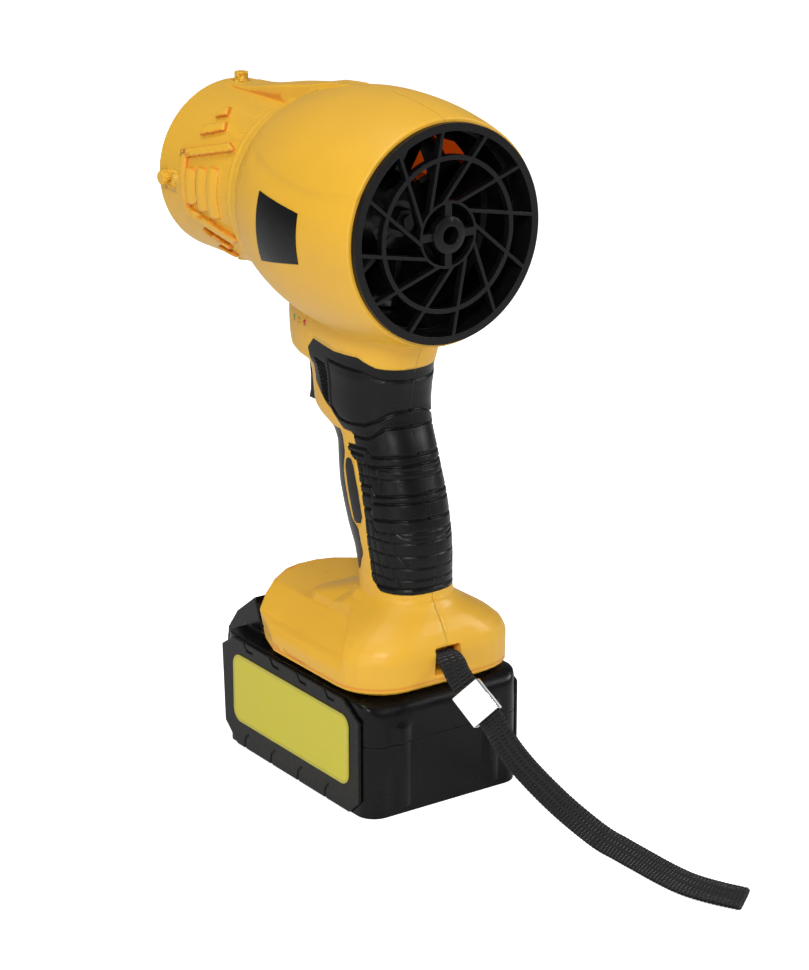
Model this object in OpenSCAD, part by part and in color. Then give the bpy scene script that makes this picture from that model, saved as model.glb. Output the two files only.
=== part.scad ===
// Cordless air blower for drying cars: a clamshell casing round an axial fan, a pistol grip with a
// sliding trigger, and a battery pack that slides off towards the front.
// Millimetres. +X is the way the air blows, +Y is the left side and +Z is up. The origin is on the
// floor, under the middle of the casing.

/* [Barrel] */
// Length of the casing from the guard's hub to the outlet rim
total_l = 150; // [147:1:154]
// Outer radius of the casing at the intake rim
intake_r = 42.8; // [42.4:0.2:44]
// Outer radius of the casing round the fan
belly_r = 47.4; // [46.8:0.2:49]
// Outer radius of the casing where the belly ends
shoulder_r = 41.2; // [40.8:0.2:42.4]
// Length of the belly, from the intake rim to its front edge
belly_l = 77.5; // [76:0.5:79]
// Length of the slope from the belly's front edge to the outlet tube
shoulder_l = 18; // [17:1:22]
// Outer radius of the outlet tube
tube_r = 34.8; // [34.4:0.2:36]
// Thickness of the casing's walls
wall = 2.4; // [2:0.1:2.6]
// Width of the ridge along the top
ridge_w = 16; // [12:1:20]
// Diameter of the twist-lock pins on the outlet tube
pin_d = 5.5; // [4:0.5:7]
// Height of the twist-lock pins above the outlet tube
pin_h = 3.6; // [2:0.2:5]
// Distance of the twist-lock pins from the outlet rim
pin_inset = 7; // [5:0.5:10]
// Height of the raised bars on the outlet tube
relief_h = 1.2; // [0.8:0.1:1.8]

/* [Intake guard] */
// Outer radius of the guard's rim
guard_r = 41.4; // [41:0.2:42.4]
// Inner radius of the guard's rim
guard_inner_r = 38.4; // [38:0.2:38.8]
// How far the guard's rim stands out of the casing
guard_proud = 2.5; // [2:0.5:4]
// How far the guard's hub stands out behind its rim
hub_proud = 1.5; // [1:0.5:3]
// Depth of the guard's rings and ribs
guard_depth = 3; // [2:0.5:4]
// Outer radius of the guard's middle ring
mid_ring_r = 29.6; // [24:0.4:32]
// Outer radius of the guard's hub ring
hub_ring_r = 12.7; // [12.3:0.1:15]
// Radius of the round hub
hub_r = 7; // [5:0.2:8]
// Radius of the hole in the hub
hub_hole_r = 3.5; // [2:0.1:4]
// Width of the slanted ribs
rib_w = 1.3; // [1.2:0.1:2.4]
// Number of slanted ribs
rib_count = 12; // [8:1:16]
// Distance by which the slanted ribs miss the guard's centre
rib_miss = 9.5; // [7:0.5:10.5]

/* [Air duct and fan] */
// Inner radius of the duct round the fan
duct_r = 36; // [35:0.2:36.4]
// Thickness of the duct's wall
duct_wall = 1.6; // [1.2:0.1:2]
// Length of the duct's windows beside the guide vanes
vane_window_l = 12; // [8:1:14]
// Gap between the blades' tips and the duct
tip_gap = 0.8; // [0.5:0.1:1.5]
// Radius of the fan's hub
fan_hub_r = 17; // [15:0.5:19]
// Length of the fan along its axis
fan_l = 15; // [13:0.5:16]
// Number of fan blades
blade_count = 9; // [5:1:11]
// Angle of the fan blades away from the axis
blade_pitch = 48; // [35:1:52]
// Thickness of the fan blades and the guide vanes
blade_t = 1.6; // [1.2:0.1:2.2]
// Number of guide vanes
vane_count = 7; // [5:2:9]
// Outer radius of the motor's can
motor_r = 17.2; // [16.6:0.2:18]
// Length of the motor's can
motor_l = 34; // [32:1:36]
// Radius of the motor's shaft
shaft_r = 2.5; // [2:0.1:3]
// Outer radius of the motor's bearings
bearing_r = 6.5; // [6:0.1:7.5]
// Width of the motor's bearings
bearing_w = 5; // [4:0.5:6]

/* [Handle] */
// Height of the gripped part, from the foot to the trigger
grip_h = 63; // [60:1:68]
// Height of the trigger's place
trigger_zone_h = 22; // [21:1:26]
// Height from the trigger's place to the blower's axis
neck_h = 63; // [62:0.5:64]
// Width of the handle
handle_w = 33; // [32:1:36]
// Thickness of the soft grip
grip_t = 2; // [1.5:0.1:2.4]
// Travel of the trigger
trigger_travel = 6.5; // [4:0.5:6.5]
// Width of the trigger
trigger_w = 14; // [12.5:0.5:15]
// Diameter of the charge lamps
led_d = 2.4; // [2:0.1:3]
// Distance between the charge lamps
led_pitch = 4.6; // [4:0.1:5]

/* [Foot] */
// Gap between the battery pack and the foot
pack_gap = 1.5; // [0.8:0.1:2.5]
// Height of the foot, from its underside to the handle
foot_h = 29.5; // [29:0.5:32]
// Width of the foot
foot_w = 76; // [75:1:80]
// Width of the strap's opening
strap_slot_w = 11.6; // [11:0.2:13]
// Height of the strap's opening
strap_slot_h = 11; // [9:0.5:11.5]

/* [Battery pack] */
// Height of the pack's case without its rail tower
pack_h = 47; // [46.5:0.5:50]
// Height at which the pack's two cases meet
pack_split = 29.5; // [26:0.5:31]
// Width of the pack over its side panels
pack_w = 75.8; // [75.4:0.2:78]
// Thickness of the pack's side panels
panel_t = 1.4; // [1:0.1:1.6]
// Thickness of the pack's walls
pack_wall = 2.5; // [2:0.1:2.6]
// Width of the rail tower's neck
neck_w = 46; // [44:0.5:48]
// Width of the rail tower's head
head_w = 52; // [51:0.5:54]
// Height of the rail tower's head
head_h = 4; // [3:0.5:4.5]
// Width of the pack's nose
nose_w = 54; // [52:1:56]
// Clearance between the two rows of cells
cell_row_gap = 1.2; // [0.6:0.1:2]
// Clearance between neighbouring cells
cell_gap = 0.4; // [0.3:0.1:0.6]
// Clearance between the cells' ends and the pack's walls
cell_end_gap = 1.5; // [1.2:0.1:3]
// Travel of the release button
latch_travel = 4.5; // [3:0.5:4.5]

/* [Small parts] */
// Radius of a casing screw's thread
screw_r = 1.5; // [1.2:0.1:1.6]
// Radius of a casing screw's head
screw_head_r = 2.9; // [2.6:0.1:3.1]
// Clearance between parts that stay still against each other
gap = 0.3; // [0.2:0.05:0.35]
// Running clearance between the shaft and its bearings
run_gap = 0.03; // [0.01:0.01:0.08]

/* [Hidden] */
$fn = 64;

yellow = [0.90, 0.70, 0.19];
black_plastic = [0.13, 0.13, 0.14];
soft_black = [0.10, 0.10, 0.11];
label_black = [0.05, 0.05, 0.05];
sticker_green = [0.78, 0.74, 0.20];
steel = [0.70, 0.71, 0.73];
copper = [0.72, 0.42, 0.24];
board_green = [0.10, 0.35, 0.20];
cell_blue = [0.20, 0.42, 0.55];

// Places along the blower's axis
rear_x = -total_l / 2;
outlet_x = total_l / 2;
guard_x = rear_x + hub_proud;
rim_x = guard_x + guard_proud;
shoulder_x = rim_x + belly_l;
tube_x = shoulder_x + shoulder_l;
guard_skirt_l = 8;
guard_skirt_r = intake_r - wall - 0.1;
duct_x = rim_x + guard_skirt_l + gap;
throat_x = duct_x + 18;
fan_x = throat_x + 6;
vane_x = fan_x + fan_l + 4;
vane_l = 18;
motor_x = vane_x + 1.5;
can_wall = 1.5;
sleeve_l = motor_l + 5.5;
sleeve_r = motor_r + 0.2;
sleeve_wall = 2;
cone_x = vane_x + sleeve_l;
cone_l = 26;
lip_l = 22;
duct_tube_r = tube_r - wall - gap;
bore_r = duct_tube_r - duct_wall;
lip_r = bore_r + 0.5;
rotor_r = 9;
coil_r = 10;

// Heights
foot_z = pack_h + pack_gap;
rail_z = foot_z + 5.7;
deck_z = foot_z + 21.5;
handle_z = foot_z + foot_h;
trigger_z = handle_z + grip_h;
neck_z = trigger_z + trigger_zone_h;
axis_z = neck_z + neck_h;

// Height of a level: 0 to 1 up the grip, 1 to 2 past the trigger and 2 to 3 up the neck to the axis
function level(k) = handle_z + grip_h * min(k, 1) + trigger_zone_h * max(0, min(k - 1, 1))
    + neck_h * max(0, k - 2);

// Handle sections: [level, rear x, front x, width as a share of the handle's width]
handle_sections = [
    [-0.25, -64, -30, 1.04], [0, -64, -29, 1.03], [0.16, -65, -27, 0.97], [0.29, -65.5, -24, 0.97],
    [0.41, -64.8, -20, 1], [0.54, -63, -17, 1.02], [0.67, -61, -14.2, 1.02], [0.79, -58, -13.4, 1],
    [0.92, -55.5, -12.6, 0.97], [1, -53.5, -9.5, 0.97], [1.18, -51.5, -1, 1.04],
    [1.32, -50.3, 2, 1.09], [1.59, -49.5, 2.5, 1.12], [1.9, -50.2, 3.2, 1.14], [2, -50.8, 4.4, 1.15],
    [2.04, -51.2, 5.4, 1.17], [2.065, -51.6, 15.6, 1.19], [2.09, -52, 18.6, 1.205],
    [2.15, -53.6, 19.6, 1.22],
    [2.27, -56.4, 20, 1.24], [2.5, -62, 20, 1.24]
];
handle_sides = 28;
squareness = 0.8;

function section_at(k, i) = lookup(k, [for (s = handle_sections) [s[0], s[i]]]);

// Half the handle's width at a place along it
function side_y(x, k) =
    let (rear = section_at(k, 1), front = section_at(k, 2))
    let (u = abs(2 * x - rear - front) / (front - rear))
        section_at(k, 3) * handle_w / 2 * pow(1 - pow(u, 2 / squareness), squareness / 2);

// Outlines on the handle's side: [x, level]
grip_outline = [
    [-75, 0.09], [-52, 0.09], [-46.5, 0.14], [-44, 0.34], [-43, 0.52], [-40.2, 0.7], [-36, 0.86],
    [-30.6, 0.9], [-30, 0.95], [-35.6, 0.962], [-33.5, 1.1], [-28.4, 1.1], [-22, 1.41],
    [-19.1, 1.47], [-10.9, 1.8], [-10.6, 2.03], [-9.1, 2.14], [-13.4, 2.21], [-26.6, 2.177],
    [-39.3, 2.177], [-46, 2.125], [-54, 2.11], [-75, 2.11]
];
finger_outline = [
    [0, 1.02], [-20, 1.05], [-25.5, 1.06], [-26.6, 0.97], [-28, 0.88], [-27.3, 0.77],
    [-30.8, 0.58], [-33.5, 0.48], [-38, 0.43], [-40.2, 0.28], [-37, 0.16], [0, 0.16]
];
pad_outline = [
    [-30.8, 0.86], [-32.8, 0.858], [-34.6, 0.82], [-38.3, 0.676], [-41, 0.52], [-40, 0.475],
    [-36.8, 0.463], [-35, 0.475], [-31.7, 0.63], [-28.7, 0.79], [-29.1, 0.84]
];

// Label on the barrel's left side: [x, height above the axis]
label_outline = [[-43.7, 8.5], [-16, 11.7], [-14.4, -15.6], [-43.1, -10.8]];
label_t = 0.3;

// Charge lamps and the board behind them
led_level = 2.287;
led_first_x = 2.3;
led_z = level(led_level);
board_y = 5.5;
board_t = 1.6;
control_board_x = [-30, 4.4];
control_board_z = [level(2.16), level(2.34)];

// Trigger and switch
trigger_floor_z = trigger_z + 3.6;
trigger_top_z = neck_z + 1.6;
trigger_mid_z = (trigger_z + neck_z) / 2;
chin_floor_x = 4.6;
chin_floor_z = level(2.1);
tail_x = -12;
switch_front_x = tail_x - trigger_travel - 0.8;
switch_l = 20.7;
switch_w = 18;
switch_h = 16;
spring_wire_r = 0.45;
trigger_spring_r = 2;

// Screw places on the centre plane: [x, z]
screw_places = [
    [-43, level(0.95)], [-51, level(0.6)], [-62, foot_z + 11], [4, foot_z + 18],
    [9.5, level(2.13)], [-48, level(2.285)]
];
boss_r = screw_r + 1.6;
screw_head_y = 10.6;
screw_head_l = 2;
screw_tip_y = 11;

// Foot sections: [height above the underside, rear x, front x, half width, rear corner radius]
foot_half_w = foot_w / 2;
foot_rear_x = -75;
foot_sections = [
    [0, -71, 15, foot_half_w - 3, 18], [2, -74, 16, foot_half_w, 20],
    [13.5, foot_rear_x, 21, foot_half_w, 21], [17.5, -74.2, 23, foot_half_w - 2, 20],
    [21.5, -72.6, 24, foot_half_w - 6.5, 19]
];
dome_sections = [
    [13.5, foot_rear_x, -20, foot_half_w, 21], [17.5, -74.2, -20, foot_half_w - 2, 20],
    [21.5, -72.6, -20, foot_half_w - 6.5, 19], [25.5, -70, -24, foot_half_w - 13, 17],
    [29, -67, -27, foot_half_w - 19, 15], [32, -65.6, -28.5, foot_half_w - 21.6, 15]
];
foot_cavity_sections = [
    [5.7, -71.5, 12, foot_half_w - 3.6, 24], [9, -71.5, 14, foot_half_w - 3.6, 24],
    [12, -71.5, 15, foot_half_w - 6.4, 22], [13.5, -71.5, 15.5, foot_half_w - 9, 20],
    [18.3, -70, 17, foot_half_w - 15.6, 16]
];
dome_cavity_sections = [
    [17, -71, -40, 22, 20], [21.5, -69.8, -40, 21.6, 19], [25, -67.5, -40, 19, 17],
    [27, -65.5, -40, 16.5, 15]
];
corner_steps = 6;
// Raised block in front of the handle: [height above the underside, front x, half width]
block_sections = [[20.5, -8, 22.2], [24.8, -9, 21.8], [31, -28, 13]];
block_corner_r = 7;
block_rear_x = -50;

// Rails, terminals and strap
tower_rear_x = -49.5;
tower_front_x = 20;
slot_rear_x = tower_rear_x - 2.3;
block_x = tower_rear_x - 7.9;
block_l = 6;
block_w = 39.4;
blade_ys = [-14, 5, 14];
blade_thick = 0.8;
blade_z = [foot_z + 1.5, foot_z + 7];
strap_slot_z = foot_z + 5.2;
strap_post_r = 1.6;
strap_post_l = 22;
strap_post_x = -70;
strap_post_z = foot_z + 11.4;
strap_w = 10;
strap_t = 2.8;
slider_l = 14;
slider_wall = 0.8;
slider_gap = 0.4;
slider_station = 5;

// Centre line of the strap: [x, y, z, tilt of its width, turn of its width]
strap_route = [
    [-72, 0.5, 60.5, 5, 5], [-76, 1, 61, 6, 8], [-80, 1.5, 59.5, 14, 18], [-84, 2, 56.5, 26, 28],
    [-89, 1.5, 52.5, 38, 34], [-94, 0.5, 48, 41, 36], [-101, -2, 42, 41, 36], [-110, -3, 34, 40, 28],
    [-120, -6, 26, 36, 18], [-132, -12, 16, 32, 8], [-148, -16.5, 9, 30, 3], [-158, -19.5, 6.5, 29, 0],
    [-168, -21.5, 5, 28, -4], [-180, -22.5, 4.4, 27, -10], [-191, -24, 4.2, 26, -18],
    [-201, -27.5, 4.2, 25, -22], [-211, -32.5, 4.2, 24, -24]
];

// Battery pack
body_w = pack_w - 2 * panel_t;
pack_rear_x = -75;
pack_front_x = 28;
pack_corner_r = 8;
pack_front_corner_r = 4;
head_z = rail_z + gap;
head_top_z = head_z + head_h;
cells_in_row = 5;
cell_floor_gap = 1.4;
cell_board_gap = 0.6;
board_lid_gap = 0.8;
cell_l = body_w - 2 * (pack_wall + cell_end_gap);
cell_front_gap = 0.8;
cell_rear_gap = 3.4;
pack_face_x = pack_rear_x + 1.2;
rows_h = pack_h - 2 * pack_wall - board_t - cell_floor_gap - cell_board_gap - board_lid_gap;
row_l = pack_front_x - pack_face_x - 2 * pack_wall - cell_front_gap - cell_rear_gap;
cell_d = min((rows_h - cell_row_gap) / 2, (row_l + cell_gap) / cells_in_row - cell_gap);
cell_pitch = cell_d + cell_gap;
cell_low_z = pack_wall + cell_floor_gap + cell_d / 2;
cell_rows_z = [cell_low_z, cell_low_z + cell_d + cell_row_gap];
cell_first_x = pack_front_x - pack_wall - cell_front_gap - cell_d / 2
    - cell_pitch * (cells_in_row - 1);
holder_t = 4;
holder_y = cell_l / 2 - 9;
strip_t = 0.3;
pack_board_z = cell_rows_z[1] + cell_d / 2 + cell_board_gap;
pack_board_inset = 8.5;
pillar_y = 21;
pillar_r = 8;
pack_top_outline = [
    [pack_face_x, pack_h - 6.5], [pack_face_x + 0.8, pack_h - 4], [pack_face_x + 2.6, pack_h - 1.8],
    [pack_face_x + 5, pack_h - 0.5], [pack_face_x + 7.6, pack_h]
];
nose_outline = [
    [14, 3], [39, 3], [44, 12], [44, pack_h - 17], [42.4, pack_h - 8], [41.9, pack_h - 5],
    [34.9, pack_h + 4], [21.2, pack_h + 14], [16.7, pack_h + 3.5], [16, pack_h + 1.6],
    [15, pack_h - 1]
];
nose_cavity_outline = [
    [13, 5.5], [37.7, 5.5], [41.5, 12.7], [41.5, pack_h - 17.3], [40, pack_h - 8.8],
    [39.6, pack_h - 6.2], [33.5, pack_h + 1.8], [23.4, pack_h + 9], [20.5, pack_h + 3],
    [19.5, pack_h - pack_wall], [13, pack_h - pack_wall]
];
pack_screw_places = [[-71, 21, 0], [-71, -21, 0], [33, 20.5, 3], [33, -20.5, 3]];
pack_screw_r = 1.4;
pack_screw_head_r = 2.4;
pack_screw_l = pack_h - 13;
panel_outline = [
    [-69, 6.5], [-62, 0.5], [19, 0.5], [28, 8], [29.5, pack_h - 6], [21, pack_h - 0.5],
    [-58, pack_h - 0.5], [-69, pack_h - 7]
];
panel_groove_pitch = 19.5;
sticker_x = [-62.5, 20.5];
sticker_z = [11.3, pack_h - 6.8];
sticker_corner = 5;
sticker_t = 0.4;
latch_w = 24;
latch_x = 39.5;
latch_front_x = 45;
latch_z = [pack_h - 17, pack_h - 6.5];
latch_link_z = [pack_h - 14, pack_h - 11];
latch_arm_z = [pack_h + 3.2, pack_h + 5.5];
latch_arm_w = 13;
hook_x = [7, 11];
hook_top_z = head_top_z + 3;
button_spring_x = 32;
button_spring_r = 3.2;
button_spring_z = latch_link_z[0] - 12;

// ---- shared shapes ----

// A closed skin over rings of points, all with the same number of points, from low to high
module skin(rings) {
    n = len(rings[0]);
    m = len(rings);
    points = [for (ring = rings) each ring];
    bottom = [for (i = [0:n - 1]) i];
    top = [for (i = [n - 1:-1:0]) (m - 1) * n + i];
    sides = [
        for (k = [0:m - 2])
            for (i = [0:n - 1])
                let (a = k * n + i, b = k * n + (i + 1) % n)
                    each [[a, a + n, b + n], [a, b + n, b]]
    ];
    polyhedron(points = points, faces = concat([bottom, top], sides), convexity = 6);
}

// Puts children on the blower's axis: their Z is the body's X, their X its Y and their Y its Z
module on_axis(x) {
    translate([x, 0, axis_z])
        rotate([90, 0, 90])
            children();
}

module tube(outer, inner, length) {
    difference() {
        cylinder(r = outer, h = length);
        translate([0, 0, -1])
            cylinder(r = inner, h = length + 2);
    }
}

// A prism along Y from an outline in X and Z
module side_prism(outline, y0, y1) {
    translate([0, y1, 0])
        rotate([90, 0, 0])
            linear_extrude(height = y1 - y0)
                polygon(outline);
}

module box_at(low, high) {
    translate(low)
        cube(high - low);
}

module on_both_sides() {
    children();
    mirror([0, 1, 0])
        children();
}

module cylinder_y(x, z, r, y0, y1) {
    translate([x, y1, z])
        rotate([90, 0, 0])
            cylinder(r = r, h = y1 - y0, $fn = 40);
}

function power(v, e) = sign(v) * pow(abs(v), e);

function oval(z, rear, front, half_w) = [
    for (i = [0:handle_sides - 1])
        let (a = 360 * i / handle_sides)
            [
                (rear + front) / 2 + (front - rear) / 2 * power(cos(a), squareness),
                half_w * power(sin(a), squareness),
                z
            ]
];

module handle_shape(inset) {
    skin([
        for (s = handle_sections)
            oval(level(s[0]), s[1] + inset, s[2] - inset, handle_w / 2 * s[3] - inset)
    ]);
}

// What lies outside the handle's core within an outline on its side
module over_handle(outline, y0, y1) {
    difference() {
        side_prism([for (p = outline) [p[0], level(p[1])]], y0, y1);
        handle_shape(grip_t);
    }
}

// A soft piece that fills such an outline up to the handle's surface
module handle_inlay(outline, y0, y1) {
    intersection() {
        handle_shape(0);
        over_handle(outline, y0, y1);
    }
}

// Foot outline: bevelled front corners and round rear corners
function foot_ring(z, rear, front, half_w, r) =
    let (span = front - rear - r)
    let (side = [
        [front, half_w * 0.13],
        [front - span * 0.03, half_w * 0.37],
        [front - span * 0.18, half_w * 0.88],
        [front - span * 0.37, half_w],
        for (i = [0:corner_steps])
            let (a = 90 + 90 * i / corner_steps)
                [rear + r + r * cos(a), half_w - r + r * sin(a)]
    ])
        concat(
            [for (p = side) [p[0], p[1], z]],
            [for (i = [len(side) - 1:-1:0]) [side[i][0], -side[i][1], z]]
        );

module foot_shape(sections) {
    skin([for (s = sections) foot_ring(foot_z + s[0], s[1], s[2], s[3], s[4])]);
}

function block_ring(z, front, half_w) =
    let (r = block_corner_r)
    let (side = [
        for (i = [0:3])
            [front - r + r * cos(30 * i), half_w - r + r * sin(30 * i)],
        [block_rear_x, half_w]
    ])
        concat(
            [for (p = side) [p[0], p[1], z]],
            [for (i = [len(side) - 1:-1:0]) [side[i][0], -side[i][1], z]]
        );

module rounded_plan(x0, x1, half_w, rear_r, front_r) {
    translate([x0 + rear_r, -half_w])
        square([x1 - front_r - x0 - rear_r, 2 * half_w]);
    translate([x0, rear_r - half_w])
        square([x1 - front_r - x0, 2 * (half_w - rear_r)]);
    translate([x0 + rear_r, front_r - half_w])
        square([x1 - x0 - rear_r, 2 * (half_w - front_r)]);
    for (side = [-1, 1]) {
        translate([x0 + rear_r, side * (half_w - rear_r)])
            circle(r = rear_r);
        translate([x1 - front_r, side * (half_w - front_r)])
            circle(r = front_r);
    }
}

// A coil of round wire that winds up from the floor of its place
module coil_spring(r, length, turns) {
    steps_per_turn = 10;
    steps = turns * steps_per_turn;
    wire_sides = 6;
    climb = (length - 2 * spring_wire_r) / steps;
    skin([
        for (k = [0:steps])
            let (a = -360 * k / steps_per_turn)
                [
                    for (i = [0:wire_sides - 1])
                        let (b = 360 * i / wire_sides, reach = r + spring_wire_r * cos(b))
                            [
                                reach * cos(a),
                                reach * sin(a),
                                spring_wire_r + climb * k + spring_wire_r * sin(b)
                            ]
                ]
    ]);
}

// ---- casing ----

// Radius of the belly's outside, from 0 at the intake rim to 1 at its front edge
belly_peak = 0.52;
belly_steps = 14;
function belly_radius(t) = t < belly_peak
    ? belly_r - (belly_r - intake_r) * pow(1 - t / belly_peak, 2.2)
    : belly_r - (belly_r - shoulder_r) * pow((t - belly_peak) / (1 - belly_peak), 2);

module barrel_shape(inset) {
    on_axis(0)
        rotate_extrude()
            polygon(concat(
                [[0, rim_x]],
                [
                    for (i = [0:belly_steps])
                        let (t = i / belly_steps)
                            [belly_radius(t) - inset, rim_x + belly_l * t]
                ],
                [
                    [tube_r + 1.8 - inset, shoulder_x + shoulder_l / 2],
                    [tube_r - inset, tube_x],
                    [tube_r - inset, outlet_x],
                    [0, outlet_x]
                ]
            ));
}

module ridge() {
    low_z = axis_z + tube_r - wall / 2;
    intersection() {
        side_prism([
            [rim_x + 50, axis_z + belly_r - 0.4], [shoulder_x - 6.5, axis_z + shoulder_r + 4.1],
            [shoulder_x + 4.5, axis_z + shoulder_r + 1.7], [tube_x + 5.5, axis_z + tube_r + 5.2],
            [tube_x + 24.5, axis_z + tube_r + 1.5], [tube_x + 36, axis_z + tube_r + 0.1],
            [tube_x + 43, axis_z + tube_r - 0.3], [tube_x + 43, low_z], [rim_x + 50, low_z]
        ], -ridge_w, ridge_w);
        translate([0, 0, axis_z])
            linear_extrude(height = belly_r + 1)
                polygon([
                    [rim_x + 50, -ridge_w / 4], [shoulder_x + 4, -ridge_w * 0.4],
                    [tube_x, -ridge_w / 2], [tube_x + 43, -ridge_w / 2], [tube_x + 43, ridge_w / 2],
                    [tube_x, ridge_w / 2], [shoulder_x + 4, ridge_w * 0.4], [rim_x + 50, ridge_w / 4]
                ]);
    }
}

module lock_pins() {
    for (a = [0:90:270])
        translate([outlet_x - pin_inset, 0, axis_z])
            rotate([a, 0, 0])
                translate([0, 0, tube_r - wall / 2])
                    cylinder(d = pin_d, h = pin_h + wall / 2, $fn = 32);
}

// Raised bars and louvres on the outlet tube's sides, seen from the left, from the outlet rim back
module relief_outlines() {
    polygon([[-15.3, 11.9], [-20.3, 10.4], [-50.3, 17.8], [-45.7, 19.4]]);
    polygon([
        [-16.4, 11.6], [-20.5, 10.3], [-23.1, 0], [-22.2, -9.3], [-17.6, -12.4], [-19.1, 0]
    ]);
    polygon([[-17.6, -12.5], [-22.2, -9.2], [-52.6, -16.7], [-47.9, -19]]);
    for (i = [0:2])
        translate([-22.3 - 8 * i, 0])
            polygon([[0, 6.5 + 1.4 * i], [-6.8, 6.5 + 1.4 * i], [-6.8, -7 - 1.5 * i], [0, -7 - 1.5 * i]]);
    polygon([[-24.1, 22.5], [-35.4, 25.2], [-37.8, 23.1], [-24.7, 19.4]]);
    polygon([[-26.8, 26], [-28.7, 29.4], [-29.9, 29.5], [-32.5, 27.5]]);
    polygon([[-27.5, -17.1], [-41.4, -21.5], [-41.4, -23.1], [-27.5, -18.7]]);
    polygon([[-31.2, -23.9], [-38.4, -25.8], [-38.4, -27.4], [-31.2, -25.5]]);
}

module relief() {
    intersection() {
        on_axis(tube_x - 3)
            tube(tube_r + relief_h, tube_r - wall / 2, outlet_x - tube_x);
        translate([outlet_x, tube_r + relief_h, axis_z])
            rotate([90, 0, 0])
                linear_extrude(height = 2 * (tube_r + relief_h))
                    relief_outlines();
    }
}

// Steps on both sides of the foot, in front of its round rear end
module foot_side_cuts() {
    top_z = handle_z + 12;
    on_both_sides()
        intersection() {
            translate([-90, 0, 0])
                rotate([90, 0, 90])
                    linear_extrude(height = 130)
                        polygon([
                            [22.4, top_z], [22.4, deck_z], [23.2, deck_z - 0.3],
                            [foot_half_w - 5, foot_z + 13.6], [foot_half_w - 4.4, foot_z + 12.8],
                            [foot_half_w - 1.5, foot_z + 11.7], [foot_half_w + 0.4, foot_z + 7.5],
                            [foot_half_w + 9, foot_z + 7.5], [foot_half_w + 9, top_z]
                        ]);
            linear_extrude(height = top_z)
                polygon([
                    [40, 12], [-34, 12], [-40.5, 21.7], [-58, foot_half_w], [-58, foot_half_w + 9],
                    [40, foot_half_w + 9]
                ]);
        }
}

module casing_outside() {
    barrel_shape(0);
    ridge();
    lock_pins();
    relief();
    handle_shape(0);
    skin([for (s = block_sections) block_ring(foot_z + s[0], s[1], s[2])]);
    difference() {
        union() {
            foot_shape(foot_sections);
            foot_shape(dome_sections);
        }
        foot_side_cuts();
    }
}

// Material that stays inside the casing: bosses, duct ribs, switch ribs and the strap pin's cheeks
module casing_inner_supports() {
    for (p = screw_places) {
        cylinder_y(p[0], p[1], boss_r, 1 - screw_head_y, foot_half_w);
        cylinder_y(p[0], p[1], screw_head_r + 1.4, -foot_half_w, 1 - screw_head_y);
    }
    for (x = [throat_x + 4, vane_x + 12])
        intersection() {
            on_axis(x)
                tube(belly_r, duct_r + duct_wall + gap, 2);
            box_at([x - 1, -belly_r, axis_z - 26], [x + 3, belly_r, axis_z + belly_r]);
        }
    for (x = [switch_front_x - 4, switch_front_x - switch_l + 2])
        on_both_sides()
            box_at(
                [x, switch_w / 2 + gap, trigger_mid_z - switch_h / 2],
                [x + 2, foot_half_w, trigger_mid_z + switch_h / 2]
            );
    box_at([chin_floor_x, -handle_w, level(2)], [tube_x, handle_w, chin_floor_z]);
    on_both_sides()
        box_at(
            [foot_rear_x + 2, strap_slot_w / 2, rail_z - 1],
            [strap_post_x + 2.6, strap_post_l / 2, strap_slot_z + strap_slot_h]
        );
}

module casing_hollow() {
    difference() {
        union() {
            barrel_shape(wall);
            handle_shape(wall + grip_t);
            foot_shape(foot_cavity_sections);
            foot_shape(dome_cavity_sections);
        }
        casing_inner_supports();
    }
    on_axis(rim_x - 1)
        cylinder(r = intake_r - wall, h = 2);
    on_axis(outlet_x - 1)
        cylinder(r = tube_r - wall, h = 2);
}

// Room for the pack's rail tower, its head and its hook
module rail_slot() {
    front_x = 40;
    box_at([slot_rear_x, -neck_w / 2 - gap, foot_z - 1], [front_x, neck_w / 2 + gap, rail_z + 0.5]);
    box_at([0, -head_w / 2 - gap, rail_z], [front_x, head_w / 2 + gap, head_top_z + gap]);
    box_at([0, -latch_arm_w / 2 - 1, rail_z], [front_x, latch_arm_w / 2 + 1, hook_top_z + 1]);
    box_at(
        [block_x - gap, -block_w / 2 - gap, blade_z[0] - gap],
        [slot_rear_x + 0.1, block_w / 2 + gap, rail_z + 0.5]
    );
}

module strap_opening() {
    box_at(
        [foot_rear_x - 2, -strap_slot_w / 2, strap_slot_z],
        [strap_post_x + 2, strap_slot_w / 2, strap_slot_z + strap_slot_h]
    );
    cylinder_y(strap_post_x, strap_post_z, strap_post_r + 0.05, -strap_post_l / 2, strap_post_l / 2);
}

module trigger_opening() {
    box_at(
        [-20, -trigger_w / 2 - gap, trigger_floor_z - 0.6],
        [24, trigger_w / 2 + gap, trigger_top_z + 0.8]
    );
}

module screw_holes() {
    for (p = screw_places) {
        cylinder_y(p[0], p[1], screw_r, -1, screw_tip_y + 0.5);
        cylinder_y(p[0], p[1], screw_r + 0.2, -screw_head_y - 1, 0);
        cylinder_y(p[0], p[1], screw_head_r + 0.2, -foot_w, -screw_head_y);
    }
}

function led_x(i) = led_first_x - led_pitch * i;

module led_holes() {
    for (i = [0:2])
        cylinder_y(led_x(i), led_z, led_d / 2 + 0.05, board_y, foot_half_w);
}

module casing() {
    difference() {
        casing_outside();
        casing_hollow();
        rail_slot();
        strap_opening();
        trigger_opening();
        over_handle(grip_outline, -foot_half_w, foot_half_w);
        over_handle(finger_outline, -foot_half_w, foot_half_w);
        over_handle(pad_outline, -foot_half_w, foot_half_w);
        screw_holes();
        led_holes();
    }
}

module housing_left() {
    color(yellow)
        intersection() {
            casing();
            box_at([-100, 0, 0], [100, 100, 300]);
        }
}

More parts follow.
